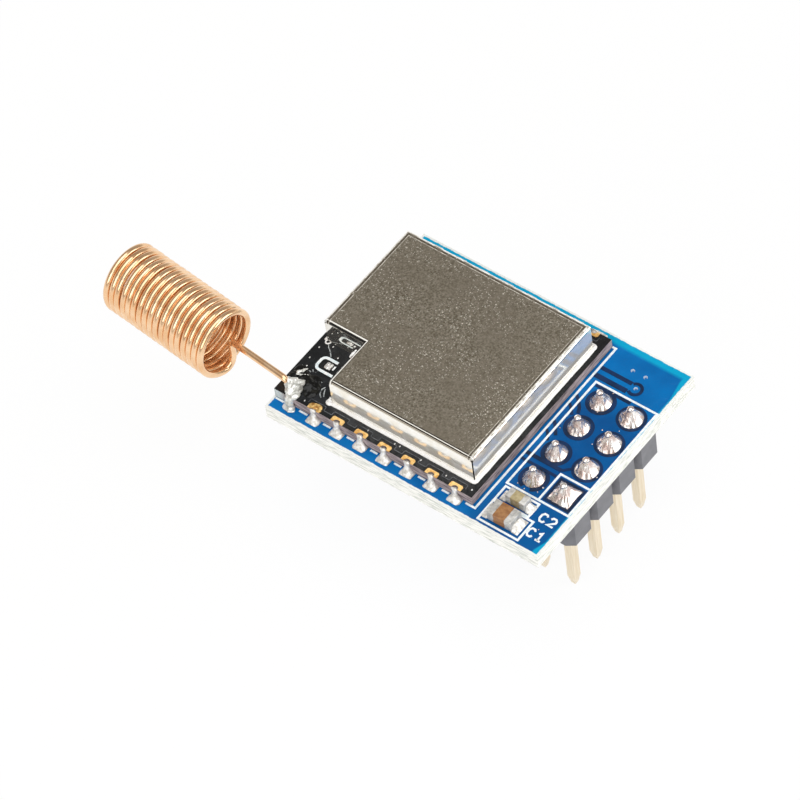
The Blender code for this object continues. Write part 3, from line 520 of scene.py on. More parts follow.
black_mask, tree, shader, place = start_finish("black_solder_mask_on_glass_board", 0.22, shine=0.35)
mask_tone = mottled(place, 1.1, "0D0F11", "1C1F22", 0.3, 0.7)
edge_tone = mottled(place, CLOTH_LAYER, "5F5559", "B7A8A8", 0.3, 0.62, 3.0, ALONG_THE_CLOTH)
axes = add_node(tree, "SeparateXYZ", place.outputs["Object"])
past_pale_end = beyond(axes.outputs["X"], module_low.x + 1.0, 0.5)
paler_toward_antenna_end = add_node(tree, "Mix", past_pale_end, "CBD3D2", edge_tone)
board_finish(shader, place, mask_tone, paler_toward_antenna_end, CLOTH_LAYER, 0.3, (0.8, 0.22), 0.35, 0.035)
dress("module_board", black_mask)

# ---- Gold pads and copper on the radio board ----
# Gold-flashed copper pads, one at each half hole along both long edges, flat and warm, with a
# film of flux that browns them in places. The copper under the mask stops short of each pad, and
# the mask over its edge shows a thin grey line, a painted highlight of the light it catches.
HALF_HOLE_PITCH = 2.0
FIRST_HALF_HOLE = module_low.x + 1.355
PAD_HALF_WIDTH = 0.5
PAD_DEPTH = 0.43
PAD_CORNER = 0.1
HALF_HOLE_RADIUS = 0.26
FOIL = 0.018
POUR_INSET, POUR_AROUND, POUR_BEHIND = 0.36, 0.66, 0.7
POUR_UNDER_CAN = 1.3
LAYER_LOW = MODULE_TOP - PRINT_SINK

gold = plain_finish("gold_flash_on_copper_pads", 0.34,
                    (0.34, "DCA251", "FFD48A", 0.34, 0.52, 3.0), (0.12, 0.006), 0.5)
mask_over_copper = plain_finish("black_solder_mask_over_copper", 0.2,
                                (0.5, "17191C", "2B2E32", 0.3, 0.7), (0.3, 0.004), shine=0.4)
# The grey of this line is a painted highlight
mask_ridge = plain_finish("painted_highlight_along_a_copper_edge", 0.3,
                          (0.3, "2A2C30", "62656A", 0.3, 0.7), (0.1, 0.004))

pads, pour, ridges = bmesh.new(), bmesh.new(), bmesh.new()
half_holes = [FIRST_HALF_HOLE + i * HALF_HOLE_PITCH for i in range(8)]
for edge_y, inward, first in ((module_low.y, 1, 1), (module_high.y, -1, 0)):
    route = []
    for x in half_holes[first:]:
        # Each pad is cut round the half hole at the board's edge, and has soft corners inside
        bite = arc(0, 0, HALF_HOLE_RADIUS, 180, 0, 10)
        inner = PAD_HALF_WIDTH - PAD_CORNER
        outline = ((-PAD_HALF_WIDTH, 0), *bite, (PAD_HALF_WIDTH, 0),
                   (PAD_HALF_WIDTH, PAD_DEPTH - PAD_CORNER), (inner, PAD_DEPTH),
                   (-inner, PAD_DEPTH), (-PAD_HALF_WIDTH, PAD_DEPTH - PAD_CORNER))
        plate(pads, [(x + out, edge_y + inward * deep) for out, deep in outline], LAYER_LOW,
              MODULE_TOP + FOIL)
        for side in (-1, 1):
            turn = [(x + side * out, edge_y + inward * deep) for out, deep in (
                (POUR_AROUND + 0.05, POUR_INSET), (POUR_AROUND, POUR_INSET + 0.05),
                (POUR_AROUND, POUR_BEHIND - 0.07), (POUR_AROUND - 0.07, POUR_BEHIND))]
            route += turn if side == -1 else reversed(turn)
    deep = edge_y + inward * POUR_UNDER_CAN
    plate(pour, [*route, (route[-1][0], deep), (route[0][0], deep)], LAYER_LOW, MODULE_TOP + 0.006)
    strip(ridges, route, 0.06, LAYER_LOW, MODULE_TOP + 0.012)
make_piece("module_pads", pads, gold, "pin_plating")
make_piece("module_copper_pour", pour, mask_over_copper, "black_solder_mask")
make_piece("module_mask_ridges", ridges, mask_ridge, "black_solder_mask")

# ---- White print on the radio board ----
# The same epoxy ink on the bare corner beside the shield: an open frame round an unused tuning
# part, and its polarity bar. The can's polished wall mirrors it.
MARK_HIGH = MODULE_TOP + 0.024
FRAME_WIDTH, BAR_WIDTH = 0.21, 0.12
marks = bmesh.new()
strip(marks, ((-17.78, -3.77), *arc(-18.62, -4.13, 0.36, 90, 180, 6),
              *arc(-18.62, -4.52, 0.36, 180, 270, 6), (-17.45, -4.88)), FRAME_WIDTH,
      LAYER_LOW, MARK_HIGH)
strip(marks, ((-17.77, -4.08), (-17.77, -4.44)), BAR_WIDTH, LAYER_LOW, MARK_HIGH)
make_piece("module_print", marks, white_ink, "black_solder_mask")

# ---- Tinned pad and specks on the bare corner ----
# What reflow and hand soldering left there: the tinned pad of the unused part, lumpy and bright,
# and specks of solder over open vias.
SPECK_RADII = (0.055, 0.08, 0.045)
SPECK_PLACES = ((-18.97, -2.8), (-19.77, -3.34), (-18.09, -3.4), (-19.77, -4.4), (-19.78, -5.22),
                (-19.5, -5.07), (-17.77, -7.51), (-9.98, -7.06), (-10.4, -7.08), (-12.6, -7.16),
                (-8.1, -7.2), (-5.9, -7.3), (-3.75, -7.3))
module_tin = solder_finish("reflowed_tin_alloy", "C9C8C6", "FBFBFA", 0.22, 0.24, metallic=0.55)
specks = bmesh.new()
for x, y in SPECK_PLACES:
    placing = Matrix.Translation((x, y, MODULE_TOP)) @ Matrix.Diagonal((*SPECK_RADII, 1.0))
    bmesh.ops.create_icosphere(specks, subdivisions=2, radius=1.0, matrix=placing)
plate(specks, rounded_box(-18.45, -4.56, -17.93, -4.02, 0.08), LAYER_LOW, MODULE_TOP + 0.03)
for x, y, size in ((-18.3, -4.15, 0.12), (-18.2, -4.42, 0.15), (-18.05, -4.3, 0.1)):
    placing = (Matrix.Translation((x, y, MODULE_TOP + 0.02))
               @ Matrix.Diagonal((size, size * 1.2, 0.07, 1.0)))
    bmesh.ops.create_icosphere(specks, subdivisions=3, radius=1.0, matrix=placing)
make_piece("module_solder_specks", specks, module_tin, "solder", smooth=True)

# ---- Flux streaks on the bare corner ----
# Dried flux, wiped and flowed in thin lines over the mask beside the antenna's joint; their pale
# grey is a painted highlight on the glossy flux.
flux_streak = plain_finish("dried_flux_with_painted_highlights", 0.35,
                           (0.16, "26292B", "C4CACB", 0.36, 0.6, 3.0, (1.0, 0.5, 1.0)),
                           (0.08, 0.01))
STREAKS = (
    (((-19.4, -2.75), (-19.22, -3.0), (-18.98, -3.16), (-18.7, -3.42), (-18.56, -3.6)), 0.06),
    (((-17.28, -5.86), (-17.38, -6.1), (-17.25, -6.5), (-17.0, -6.72)), 0.07),
    (((-17.2, -5.98), (-17.05, -6.3), (-16.88, -6.55)), 0.06),
    (((-17.93, -5.6), (-17.7, -5.66)), 0.06),
    (((-18.95, -5.1), (-18.8, -5.25), (-18.6, -5.18)), 0.07),
    (((-19.1, -5.3), (-18.92, -5.36)), 0.08),
)
streaks = bmesh.new()
for index, (route, width) in enumerate(STREAKS):
    strip(streaks, route, width, LAYER_LOW, MODULE_TOP + 0.008 + 0.002 * index)
make_piece("module_flux_streaks", streaks, flux_streak, "black_solder_mask")

# ---- Solder in the half holes ----
# Solder drawn up by the plated half holes from the carrier's lands: a bright nub in the hole, a
# narrow hollow stem, and a flat frosted foot over the land.
HALF_HOLE_CORE = 0.24
JOINT_SEAT = 0.012
# Share of the way up, half width, depth, shift along the edge, and how square the outline is
JOINT_LEVELS = (
    (0.0, 0.52, 0.63, 0.16, 0.3), (0.04, 0.52, 0.62, 0.16, 0.3), (0.09, 0.46, 0.5, 0.14, 0.5),
    (0.2, 0.33, 0.34, 0.09, 0.7), (0.36, 0.25, 0.24, 0.05, 0.9), (0.58, 0.21, 0.17, 0.02, 1.0),
    (0.8, 0.23, 0.13, 0.0, 1.0), (0.96, 0.26, 0.12, 0.0, 1.0), (1.03, 0.22, 0.08, 0.0, 1.0),
    (1.07, 0.12, 0.02, 0.0, 1.0))
# Its warm grey duller patches are a painted reflection of the room's warm tone
edge_tin = solder_finish("wicked_tin_with_painted_reflection", "CFCBC3", "FBFAF7", 0.24, 0.3, 0.01, 0.003, 0.35)
for side, edge_y, outward, first in (("near", module_low.y, -1, 2), ("far", module_high.y, 1, 1)):
    for number in range(first, 9):
        hole_x = half_holes[number - 1]
        joint = bmesh.new()
        loops = []
        for share, half_width, depth, shift, square in JOINT_LEVELS:
            core = HALF_HOLE_CORE * min(1.0, (1.1 - share) * 4)
            outline = [(core * math.cos(math.pi * i / 8), -core * math.sin(math.pi * i / 8))
                       for i in range(9)]
            for i in range(13):
                angle = math.pi - math.pi * i / 12
                wide = math.copysign(abs(math.cos(angle)) ** square, math.cos(angle))
                deep = math.sin(angle) ** square if 0 < i < 12 else 0.0
                spot = Vector((hole_x + 3 * wide, 3 * deep + 9 * outward, 3 * share))
                bulge = 1 + 0.1 * noise.noise(spot)
                outline.append((shift - half_width * wide * bulge, 0.01 + depth * deep * bulge))
            z = BOARD_TOP + JOINT_SEAT + (MODULE_TOP - BOARD_TOP - JOINT_SEAT) * share
            loops.append([(hole_x + along, edge_y + outward * out, z) for along, out in outline])
        skin(joint, loops)
        make_piece(f"edge_joint_{side}_{number}", joint, edge_tin, "solder",
                   f"edge_solder_{side}_{number}", smooth=True)

# ---- Shield can ----
# Nickel silver sheet, blanked and folded into a lid. The rolled top is satin with fine pale specks;
# its warm grey, darker than the walls of the same sheet, is painted shade for the dim room it
# mirrors. The bends and the notch's walls are pulled smooth by the tool and mirror the board beside
# them; the outer walls are painted near white and made half metallic, a painted highlight. The
# walls lean and turn a little.
can_low, can_high = (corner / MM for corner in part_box("shield_can"))
NOTCH_X = can_low.x + 3.47
NOTCH_Y = can_low.y + 3.99
# How far each wall leans out at its foot, and turns toward the header, as slopes
NOTCH_LEAN, NOTCH_TURN = 0.2, 0.1
NEAR_LEAN, NEAR_TURN = 0.095, 0.17
# Specks on the top: the cells that hold one each, how much of a cell one fills, and their rarity
SPECKS = ((0.42, 0.17, 0.45), (0.22, 0.24, 0.5), (0.13, 0.3, 0.5))
SPECK_CORE = 0.6
# Painted highlights and painted shade in lines beside the bends, standing for the bright and
# dark reflections there: how far in from which edges, how wide, and their tone
PAINTED_BEND_LINES = (
    ("near", 0.03, 0.03, "4F473B"), ("near", 0.065, 0.03, "A79E8C"),
    ("near", 0.11, 0.09, "241E18"), ("near", 0.18, 0.07, "FFFDF4"),
    ("near", 0.25, 0.09, "241E18"), ("notch", 0.065, 0.13, "141516"),
    ("notch", 0.18, 0.1, "FFFEF8"), ("notch", 0.26, 0.06, "453D33"),
    ("outer", 0.12, 0.2, "FFFEFA"), ("outer", 0.32, 0.13, "4F473B"),
    ("outer", 0.42, 0.05, "F4EFE3"))
LINE_FADE = 0.015
# How metallic the painted lines are, so that their painted tone shows
PAINTED_LINE_METALLIC = 0.15
# Values in the notch, on the outer walls, on the bends and on the top
SHEEN = {"Roughness": (0.06, 0.11, 0.08, 0.38), "Metallic": (0.96, 0.58, 0.95, 0.9)}

nickel_silver, tree, shader, place = start_finish("folded_nickel_silver_sheet", 0.3)
top_share = level_share(place, 0.97, 0.995)
off_walls = level_share(place, 0.06, 0.18)
axes = add_node(tree, "SeparateXYZ", place.outputs["Object"])
along, across = axes.outputs["X"], axes.outputs["Y"]

# How far in from each edge of the top a point lies
near, *notch, left, right, far = (
    add_node(tree, "SUBTRACT", first, second) for first, second in (
        (across, can_low.y * MM), (along, NOTCH_X * MM), (across, NOTCH_Y * MM),
        (along, can_low.x * MM), (can_high.x * MM, along), (can_high.y * MM, across)))
outer = add_node(tree, "MINIMUM", left, right)
inward = {"near": near, "notch": add_node(tree, "MAXIMUM", *notch),
          "outer": add_node(tree, "MINIMUM", outer, far)}

# The rolled top: fine grain, and pale specks that crowd in places and toward the outer edges. Its
# dark warm grey is painted shade for the dim room it mirrors.
grain = mottled(place, 0.13, "6F6758", "A69F90", 0.34, 0.66, 3.0)
painted_shade_patches = mottled(place, 0.3, "827A6B", "958D7F")
tone = add_node(tree, "Mix", patches(place, 4.0, 0.35, 0.75), grain, painted_shade_patches)
near_edge = add_node(tree, "MapRange", inward["outer"], 2.6 * MM, 0.5 * MM)
near_edge = add_node(tree, "MULTIPLY", near_edge, patches(place, 1.4, 0.4, 0.52))
crowded = add_node(tree, "MAXIMUM", patches(place, 3.0, 0.4, 0.6), near_edge)
for cell, reach, rarity in SPECKS:
    cells = add_node(tree, "TexVoronoi", Vector=place.outputs["Object"], Scale=1 / (cell * MM))
    speck = add_node(tree, "MapRange", cells.outputs["Distance"], reach, reach * SPECK_CORE)
    chance = add_node(tree, "SeparateColor", cells.outputs["Color"])
    chosen = add_node(tree, "GREATER_THAN", chance.outputs["Red"], rarity)
    for share in (chosen, crowded):
        speck = add_node(tree, "MULTIPLY", speck, share)
    tone = add_node(tree, "Mix", speck, tone, "EAE6DA")

# The outer walls are painted near white and dull, a painted highlight, and the notch and the
# bends keep their polish
right_of_notch = beyond(along, NOTCH_X - 0.05, 0.05)
behind_notch = beyond(across, NOTCH_Y + 0.3, 0.05)
outside_notch = add_node(tree, "MAXIMUM", right_of_notch, behind_notch)
walls = add_node(tree, "Mix", outside_notch,
                 mottled(place, 0.9, "E4E1DA", "F6F4EE", 0.3, 0.6, 3.0),
                 mottled(place, 0.7, "F8F3E6", "FFFEFA", 0.3, 0.6, 3.0))
bends = add_node(tree, "Mix", off_walls, walls, "E6E0D2")
tone = add_node(tree, "Mix", top_share, bends, tone)

long_breaks = patches(place, 2.5, 0.1, 0.3)
broken = {"near": long_breaks, "notch": long_breaks, "outer": patches(place, 0.5, 0.3, 0.55, 3.0)}
off_painted_lines = 1.0
for edges, middle_in, width, code in PAINTED_BEND_LINES:
    apart = add_node(tree, "SUBTRACT", inward[edges], middle_in * MM)
    apart = add_node(tree, "ABSOLUTE", apart)
    line = add_node(tree, "MapRange", apart, width / 2 * MM, (width / 2 - LINE_FADE) * MM)
    for share in (broken[edges], off_walls):
        line = add_node(tree, "MULTIPLY", line, share)
    tone = add_node(tree, "Mix", line, tone, code)
    # The painted lines mirror less than the bend between them, so that their painted tone shows
    clear = add_node(tree, "SUBTRACT", 1.0, line)
    off_painted_lines = add_node(tree, "MULTIPLY", clear, off_painted_lines)
feed(shader, Base_Color=tone)
for socket, (polished, outer_walls, bend, top) in SHEEN.items():
    value = add_node(tree, "MapRange", outside_notch, To_Min=polished, To_Max=outer_walls)
    for share, there in ((off_walls, bend), (top_share, top)):
        value = add_node(tree, "Mix", share, value, there, data_type="FLOAT")
    if socket == "Metallic":
        value = add_node(tree, "Mix", off_painted_lines, PAINTED_LINE_METALLIC, value, data_type="FLOAT")
    feed(shader, **{socket: value})

# The walls lean and turn by slopes in their relief, and the notch has slopes of its own
upright = add_node(tree, "SUBTRACT", 1.0, off_walls)
slopes = []
for axis, in_notch, elsewhere in (("Z", NOTCH_LEAN, NEAR_LEAN), ("X", NOTCH_TURN, NEAR_TURN)):
    slope = add_node(tree, "MapRange", outside_notch, To_Min=-in_notch / MM, To_Max=-elsewhere / MM)
    for share in (upright, axes.outputs[axis]):
        slope = add_node(tree, "MULTIPLY", slope, share)
    slopes.append(slope)
leaning = add_node(tree, "ADD", *slopes)
rolled = add_node(tree, "MULTIPLY", patches(place, 0.09, 0.2, 0.8), top_share)
relief(shader, place, (leaning, 1.0), (rolled, 0.004), (3.0, 0.002))
dress("shield_can", nickel_silver)

# ---- Bead of solder round the shield ----
# Reflowed paste that joins the foot of the walls to the board: a wavy bead, left out along the
# notch, with a lump drawn up the wall at its near end and a small ring at its far one. More lumps
# cling to the edge of the top beside the notch. Its near white, barely metallic finish is a painted
# highlight for the bright line the solder catches.
BEAD_WIDTH, BEAD_HEIGHT = 0.27, 0.12
BEAD_STEP = 0.25
BEAD_SEAT = 0.005
# Near white and barely metallic: a painted highlight on the solder
bead_tin = solder_finish("reflowed_solder_painted_white", "FAF9F6", "FFFFFF", 0.5, 0.22, 0.004, 0.001, 0.08)
foot_corners = [Vector(corner) for corner in (
    (NOTCH_X, can_low.y), (can_high.x, can_low.y), (can_high.x, can_high.y),
    (can_low.x, can_high.y), (can_low.x, NOTCH_Y))]
bead_route = []
for start, end in zip(foot_corners, foot_corners[1:]):
    along = (end - start).normalized()
    outward = Vector((along.y, -along.x))
    count = round((end - start).length / BEAD_STEP)
    bead_route += [(start.lerp(end, i / count), outward) for i in range(count + 1)]
    bead_route.append((end, (outward + along).normalized()))
bead_route.pop()
loops = []
for point, outward in bead_route:
    sway = noise.noise(Vector((point.x * 0.9, point.y * 0.9, 4.0)))
    ripple = noise.noise(Vector((point.x * 3.1, point.y * 3.1, 8.0)))
    width = BEAD_WIDTH * (1 + 0.1 * sway + 0.05 * ripple)
    height = BEAD_HEIGHT * (1 + 0.12 * sway)
    section = [(BEAD_SEAT, -BEAD_SEAT), *arc(0, 0, 1.0, 0, 80, 6), (BEAD_SEAT, 1.0)]
    loops.append([(*(point + outward * width * out), MODULE_TOP + BEAD_SEAT + height * up)
                  for out, up in section])
bead = bmesh.new()
skin(bead, loops)
make_piece("shield_seam_bead", bead, bead_tin, "solder", "shield_seam_solder", smooth=True)


def melt_together(name, around, blobs, voxel, finish, slot, *stands_for, fold=(2.4,) * 3,
                  depth=0.02):
    """Join stretched balls into one lumpy solid. Each has its centre, from a place on the radio
    board's top, its radii, and its turn in degrees."""
    shape = bmesh.new()
    for (x, y, up), radii, turn in blobs:
        placing = (Matrix.Translation((around[0] + x, around[1] + y, MODULE_TOP + up))
                   @ Matrix.Rotation(math.radians(turn), 4, "Z")
                   @ Matrix.Diagonal((*radii, 1.0)))
        bmesh.ops.create_icosphere(shape, subdivisions=3, radius=1.0, matrix=placing)
    mesh = bpy.data.meshes.new(name)
    shape.to_mesh(mesh)
    shape.free()
    rough = bpy.data.objects.new(name + "_rough", mesh)
    bpy.context.scene.collection.objects.link(rough)
    remesh = rough.modifiers.new("join", "REMESH")
    remesh.mode = "VOXEL"
    remesh.voxel_size = voxel
    settle = rough.modifiers.new("settle", "SMOOTH")
    settle.iterations = 4
    bpy.context.view_layer.update()
    joined = bmesh.new()
    joined.from_object(rough, bpy.context.evaluated_depsgraph_get())
    bpy.data.objects.remove(rough, do_unlink=True)
    bpy.data.meshes.remove(mesh)
    joined.normal_update()
    for vert in joined.verts:
        spot = Vector(c * f for c, f in zip(vert.co, fold))
        crest = noise.ridged_multi_fractal(spot, 0.9, 2.1, 2, 1.0, 2.0)
        vert.co += vert.normal * (depth * (crest - 1.0))
    make_piece(name, joined, finish, slot, *stands_for, smooth=True)


melt_together("shield_corner_solder", (NOTCH_X, can_low.y), (
    ((-0.02, -0.16, 0.06), (0.32, 0.24, 0.14), 0),
    ((-0.02, -0.1, 0.2), (0.2, 0.14, 0.2), 0),
    ((0.0, -0.05, 0.42), (0.08, 0.07, 0.22), 0),
), 0.03, bead_tin, "solder")
melt_together("shield_edge_solder", (NOTCH_X, 0.0), (
    ((-0.03, -3.75, 2.22), (0.12, 0.22, 0.1), 0),
    ((-0.07, -3.95, 2.15), (0.1, 0.16, 0.12), 0),
    ((-0.02, -3.5, 2.24), (0.07, 0.12, 0.08), 0),
), 0.025, bead_tin, "solder")

RING_CENTRE = Vector((-19.5, -2.66, MODULE_TOP + 0.05))
RING_RADIUS, RING_WIRE = 0.18, 0.055
RING_STEPS = 24
loops = []
for i in range(RING_STEPS):
    turn = 2 * math.pi * i / RING_STEPS
    reach = RING_RADIUS + 0.03 * noise.noise(Vector((math.cos(turn), math.sin(turn), 2.0)))
    loops.append([RING_CENTRE + Vector(((reach + out) * math.cos(turn),
                                        (reach + out) * math.sin(turn), up))
                  for out, up in arc(0, 0, RING_WIRE, steps=10)])
ring = bmesh.new()
skin(ring, loops, closed=True)
make_piece("shield_far_corner_solder", ring, bead_tin, "solder", smooth=True)

# ---- Wound antenna ----
# Hard-drawn bare copper wire, wound by hand on a rod: eighteen touching turns, a last turn that
# curls inward, and a straight lead. It is bright, a little tarnished, and no two turns are alike.
WIRE_RADIUS = 0.25
COIL_RADIUS = 2.4
COIL_PITCH = 0.535
COIL_TURNS = 18
COIL_END = math.radians(-110)
STEPS_PER_TURN = 60
WIRE_SIDES = 18
LEAD_END = Vector((-19.925, -7.065, 5.2))
LEAD_YAW = math.radians(-6)
LEAD_LENGTH = 5.0
LEAD_OFFSET = 0.43
LEAD_BEND = 0.4
LEAD_DIP_BEND = 0.35
LEAD_DIP = math.radians(35)
DIP_LENGTH = 0.4
LEAD_BOW = 0.02
CURL = 0.84
CURL_STEPS, BEND_STEPS, LEAD_STEPS, DIP_STEPS = 20, 12, 12, 6


def wire_route():
    """The wire from its free end, through the turns, up the riser and along the lead."""
    coil_mouth = Vector((-LEAD_LENGTH, -LEAD_OFFSET, 0.0))
    steps = COIL_TURNS * STEPS_PER_TURN
    point = None
    for i in range(steps + 1):
        turns_left = COIL_TURNS * (1 - i / steps)
        angle = COIL_END - 2 * math.pi * turns_left
        # Hand-wound turns are not quite even in width or spacing
        width = COIL_RADIUS + 0.03 * noise.noise(Vector((turns_left * 0.8, 3.0, 0.0)))
        drift = 0.06 * noise.noise(Vector((turns_left * 0.75, 9.0, 0.0))) * min(1.0, turns_left / 2)
        point = coil_mouth + Vector((-COIL_PITCH * turns_left + drift,
                                     width * math.cos(angle), width * math.sin(angle)))
        yield point
    heading = Vector((COIL_PITCH / (2 * math.pi * COIL_RADIUS), -math.sin(COIL_END),
                      math.cos(COIL_END)))
    end = Vector((-LEAD_LENGTH, 0.0, -COIL_RADIUS / 2))
    handles = (point, point + heading * CURL, end - Vector((0, 0, CURL)), end)
    for i in range(1, CURL_STEPS + 1):
        s = i / CURL_STEPS
        weights = ((1 - s) ** 3, 3 * s * (1 - s) ** 2, 3 * s ** 2 * (1 - s), s ** 3)
        yield sum((handle * weight for handle, weight in zip(handles, weights)), Vector())
    for x, z in arc(-LEAD_LENGTH + LEAD_BEND, -LEAD_BEND, LEAD_BEND, 180, 90, BEND_STEPS):
        yield Vector((x, 0.0, z))
    for i in range(1, LEAD_STEPS):
        yield Vector((-LEAD_LENGTH + LEAD_BEND + (LEAD_LENGTH - LEAD_BEND) * i / LEAD_STEPS, 0.0,
                      LEAD_BOW * math.sin(math.pi * i / LEAD_STEPS)))
    dip_end = 90 - math.degrees(LEAD_DIP)
    for x, z in arc(0, -LEAD_DIP_BEND, LEAD_DIP_BEND, 90, dip_end, DIP_STEPS):
        yield Vector((x, 0.0, z))
    yield Vector((LEAD_DIP_BEND * math.sin(LEAD_DIP) + DIP_LENGTH * math.cos(LEAD_DIP), 0.0,
                  -LEAD_DIP_BEND * (1 - math.cos(LEAD_DIP)) - DIP_LENGTH * math.sin(LEAD_DIP)))


def tube(shape, points, radius, sides):
    """A round wire along a route, without twist."""
    loops = []
    side = None
    for i, point in enumerate(points):
        ahead = points[min(i + 1, len(points) - 1)]
        behind = points[max(i - 1, 0)]
        along = (ahead - behind).normalized()
        side = (along.orthogonal() if side is None else side - along * side.dot(along)).normalized()
        across = along.cross(side)
        loops.append([point + (side * math.cos(a) + across * math.sin(a)) * radius
                      for a in (2 * math.pi * k / sides for k in range(sides))])
    skin(shape, loops)


copper, tree, shader, place = start_finish("hard_drawn_bare_copper", 0.2, 0.92)
feed(shader, Base_Color=mottled(place, 1.1, "F0C294", "FCDAB4", 0.35, 0.7, 3.0),
     Roughness=add_node(tree, "MapRange", patches(place, 0.5), To_Min=0.1, To_Max=0.2))
relief(shader, place, (0.08, 0.002))
placing = Matrix.Translation(LEAD_END) @ Matrix.Rotation(LEAD_YAW, 4, "Z")
antenna = bmesh.new()
tube(antenna, [placing @ point for point in wire_route()], WIRE_RADIUS, WIRE_SIDES)
make_piece("antenna_wire", antenna, copper, "copper_wire", "antenna_coil", smooth=True)

# ---- Solder heap that holds the antenna ----
# Solder laid on by hand, cold and ragged: it swallows the lead's end, drapes over the corner of
# the board and runs down the first half hole to its land. Its skin is frosted white with folds,
# and flux has run out of it over the board and the next gold pad.
heap_tin = solder_finish("cold_hand_laid_tin_alloy", "C6C7C1", "FBFCF8", 0.4, 0.24, 0.006,
                         0.0015, 0.5)
FIRST_PAD = (FIRST_HALF_HOLE, 0.0)
melt_together("antenna_heap", FIRST_PAD, (
    ((-0.68, -6.97, 0.42), (0.36, 0.27, 0.28), 0),
    ((-0.33, -6.8, 0.44), (0.44, 0.27, 0.28), 22),
    ((0.0, -6.66, 0.3), (0.4, 0.3, 0.3), 25),
    ((-0.5, -7.18, 0.26), (0.42, 0.34, 0.32), -20),
    ((-0.08, -7.08, 0.26), (0.5, 0.4, 0.3), 0),
    ((0.24, -7.12, 0.1), (0.26, 0.5, 0.2), 10),
    ((-0.22, -7.47, 0.16), (0.42, 0.36, 0.28), -25),
    ((0.3, -7.5, 0.08), (0.34, 0.34, 0.18), 0),
    ((0.06, -7.74, 0.02), (0.48, 0.24, 0.24), 0),
    ((0.0, -7.94, -0.24), (0.37, 0.22, 0.36), 0),
    ((0.03, -8.04, -0.5), (0.36, 0.24, 0.3), 0),
    ((0.08, -8.12, -0.7), (0.46, 0.34, 0.14), 0),
    ((0.12, -8.2, -0.79), (0.54, 0.32, 0.075), 0),
), 0.03, heap_tin, "solder", "antenna_solder", fold=(2.2, 0.8, 0.8), depth=0.06)

# Flux that boiled out of the joint and set as a dark glassy pool on the board behind it, with
# pale solder wisps on its skin laid as painted highlights for the white streaks the glassy pool
# catches
pool_glass = plain_finish("set_flux_over_black_mask", 0.12,
                          (0.4, "090A0A", "2A2A24", 0.5, 0.8, 3.0), (0.5, 0.03), shine=0.28)
melt_together("antenna_flux_pool", FIRST_PAD, (
    ((-0.35, -6.1, 0.02), (0.85, 0.62, 0.2), 10),
    ((0.25, -6.3, 0.02), (0.75, 0.62, 0.22), -10),
    ((-0.8, -6.2, 0.02), (0.42, 0.5, 0.2), 0),
    ((-0.75, -5.6, 0.0), (0.55, 0.5, 0.14), 35),
    ((0.45, -5.75, 0.0), (0.6, 0.4, 0.12), 20),
    ((0.95, -6.7, 0.0), (0.55, 0.55, 0.1), 20),
    ((0.9, -6.2, 0.0), (0.5, 0.4, 0.1), 0),
), 0.035, pool_glass, "black_solder_mask", fold=(2.3,) * 3, depth=0.035)
# Pale wisps on the pool: painted highlights
melt_together("antenna_pool_painted_highlights", (0.0, 0.0), (
    ((-19.5, -5.84, 0.2), (0.26, 0.13, 0.06), 55),
    ((-19.34, -5.62, 0.17), (0.22, 0.12, 0.06), 75),
    ((-19.26, -5.4, 0.13), (0.16, 0.06, 0.05), 50),
    ((-19.42, -5.38, 0.1), (0.1, 0.05, 0.05), 110),
    ((-19.4, -6.06, 0.22), (0.2, 0.07, 0.05), 30),
    ((-19.2, -6.0, 0.22), (0.14, 0.05, 0.04), 60),
    ((-19.04, -5.84, 0.18), (0.12, 0.05, 0.04), 20),
    ((-18.86, -5.76, 0.15), (0.08, 0.06, 0.05), 0),
    ((-19.68, -5.5, 0.08), (0.14, 0.04, 0.05), 80),
    ((-18.75, -6.3, 0.22), (0.16, 0.05, 0.03), 25),
), 0.02, heap_tin, "solder", fold=(4.5,) * 3, depth=0.035)

# The flux ran over the next gold pad too and browned it in a crumpled skin
browned = plain_finish("browned_flux_over_gold_pad", 0.18,
                       (0.22, "A5722F", "F6CE83", 0.36, 0.6, 3.0), (0.16, 0.02), 0.35)
melt_together("module_pad_flux", FIRST_PAD, (
    ((1.9, -7.52, 0.0), (0.42, 0.26, 0.1), 10),
    ((2.2, -7.45, 0.0), (0.36, 0.24, 0.09), -20),
    ((2.38, -7.66, 0.0), (0.2, 0.18, 0.08), 0),
), 0.025, browned, "pin_plating", fold=(3.0,) * 3, depth=0.03)

# ---- Chip capacitors ----
# Fired ceramic blocks with tinned ends, tumbled so that their edges are soft. The larger one is
# orange tan, the smaller pale tan. A lumpy fillet of solder slopes from each end to its pad.
SOFT_EDGE = 0.05
TINNED_SHARE, BAND_WAVER = 0.26, 0.025
FILLET_STEPS, CROWN_STEPS = 12, 10


def from_middle(place, axis):
    """How far a point lies from a piece's middle, as a share of the piece's length."""
    tree = place.id_data
    share = add_node(tree, "SeparateXYZ", place.outputs["Generated"])
    shifted = add_node(tree, "SUBTRACT", share.outputs[axis], 0.5)
    return add_node(tree, "ABSOLUTE", shifted)


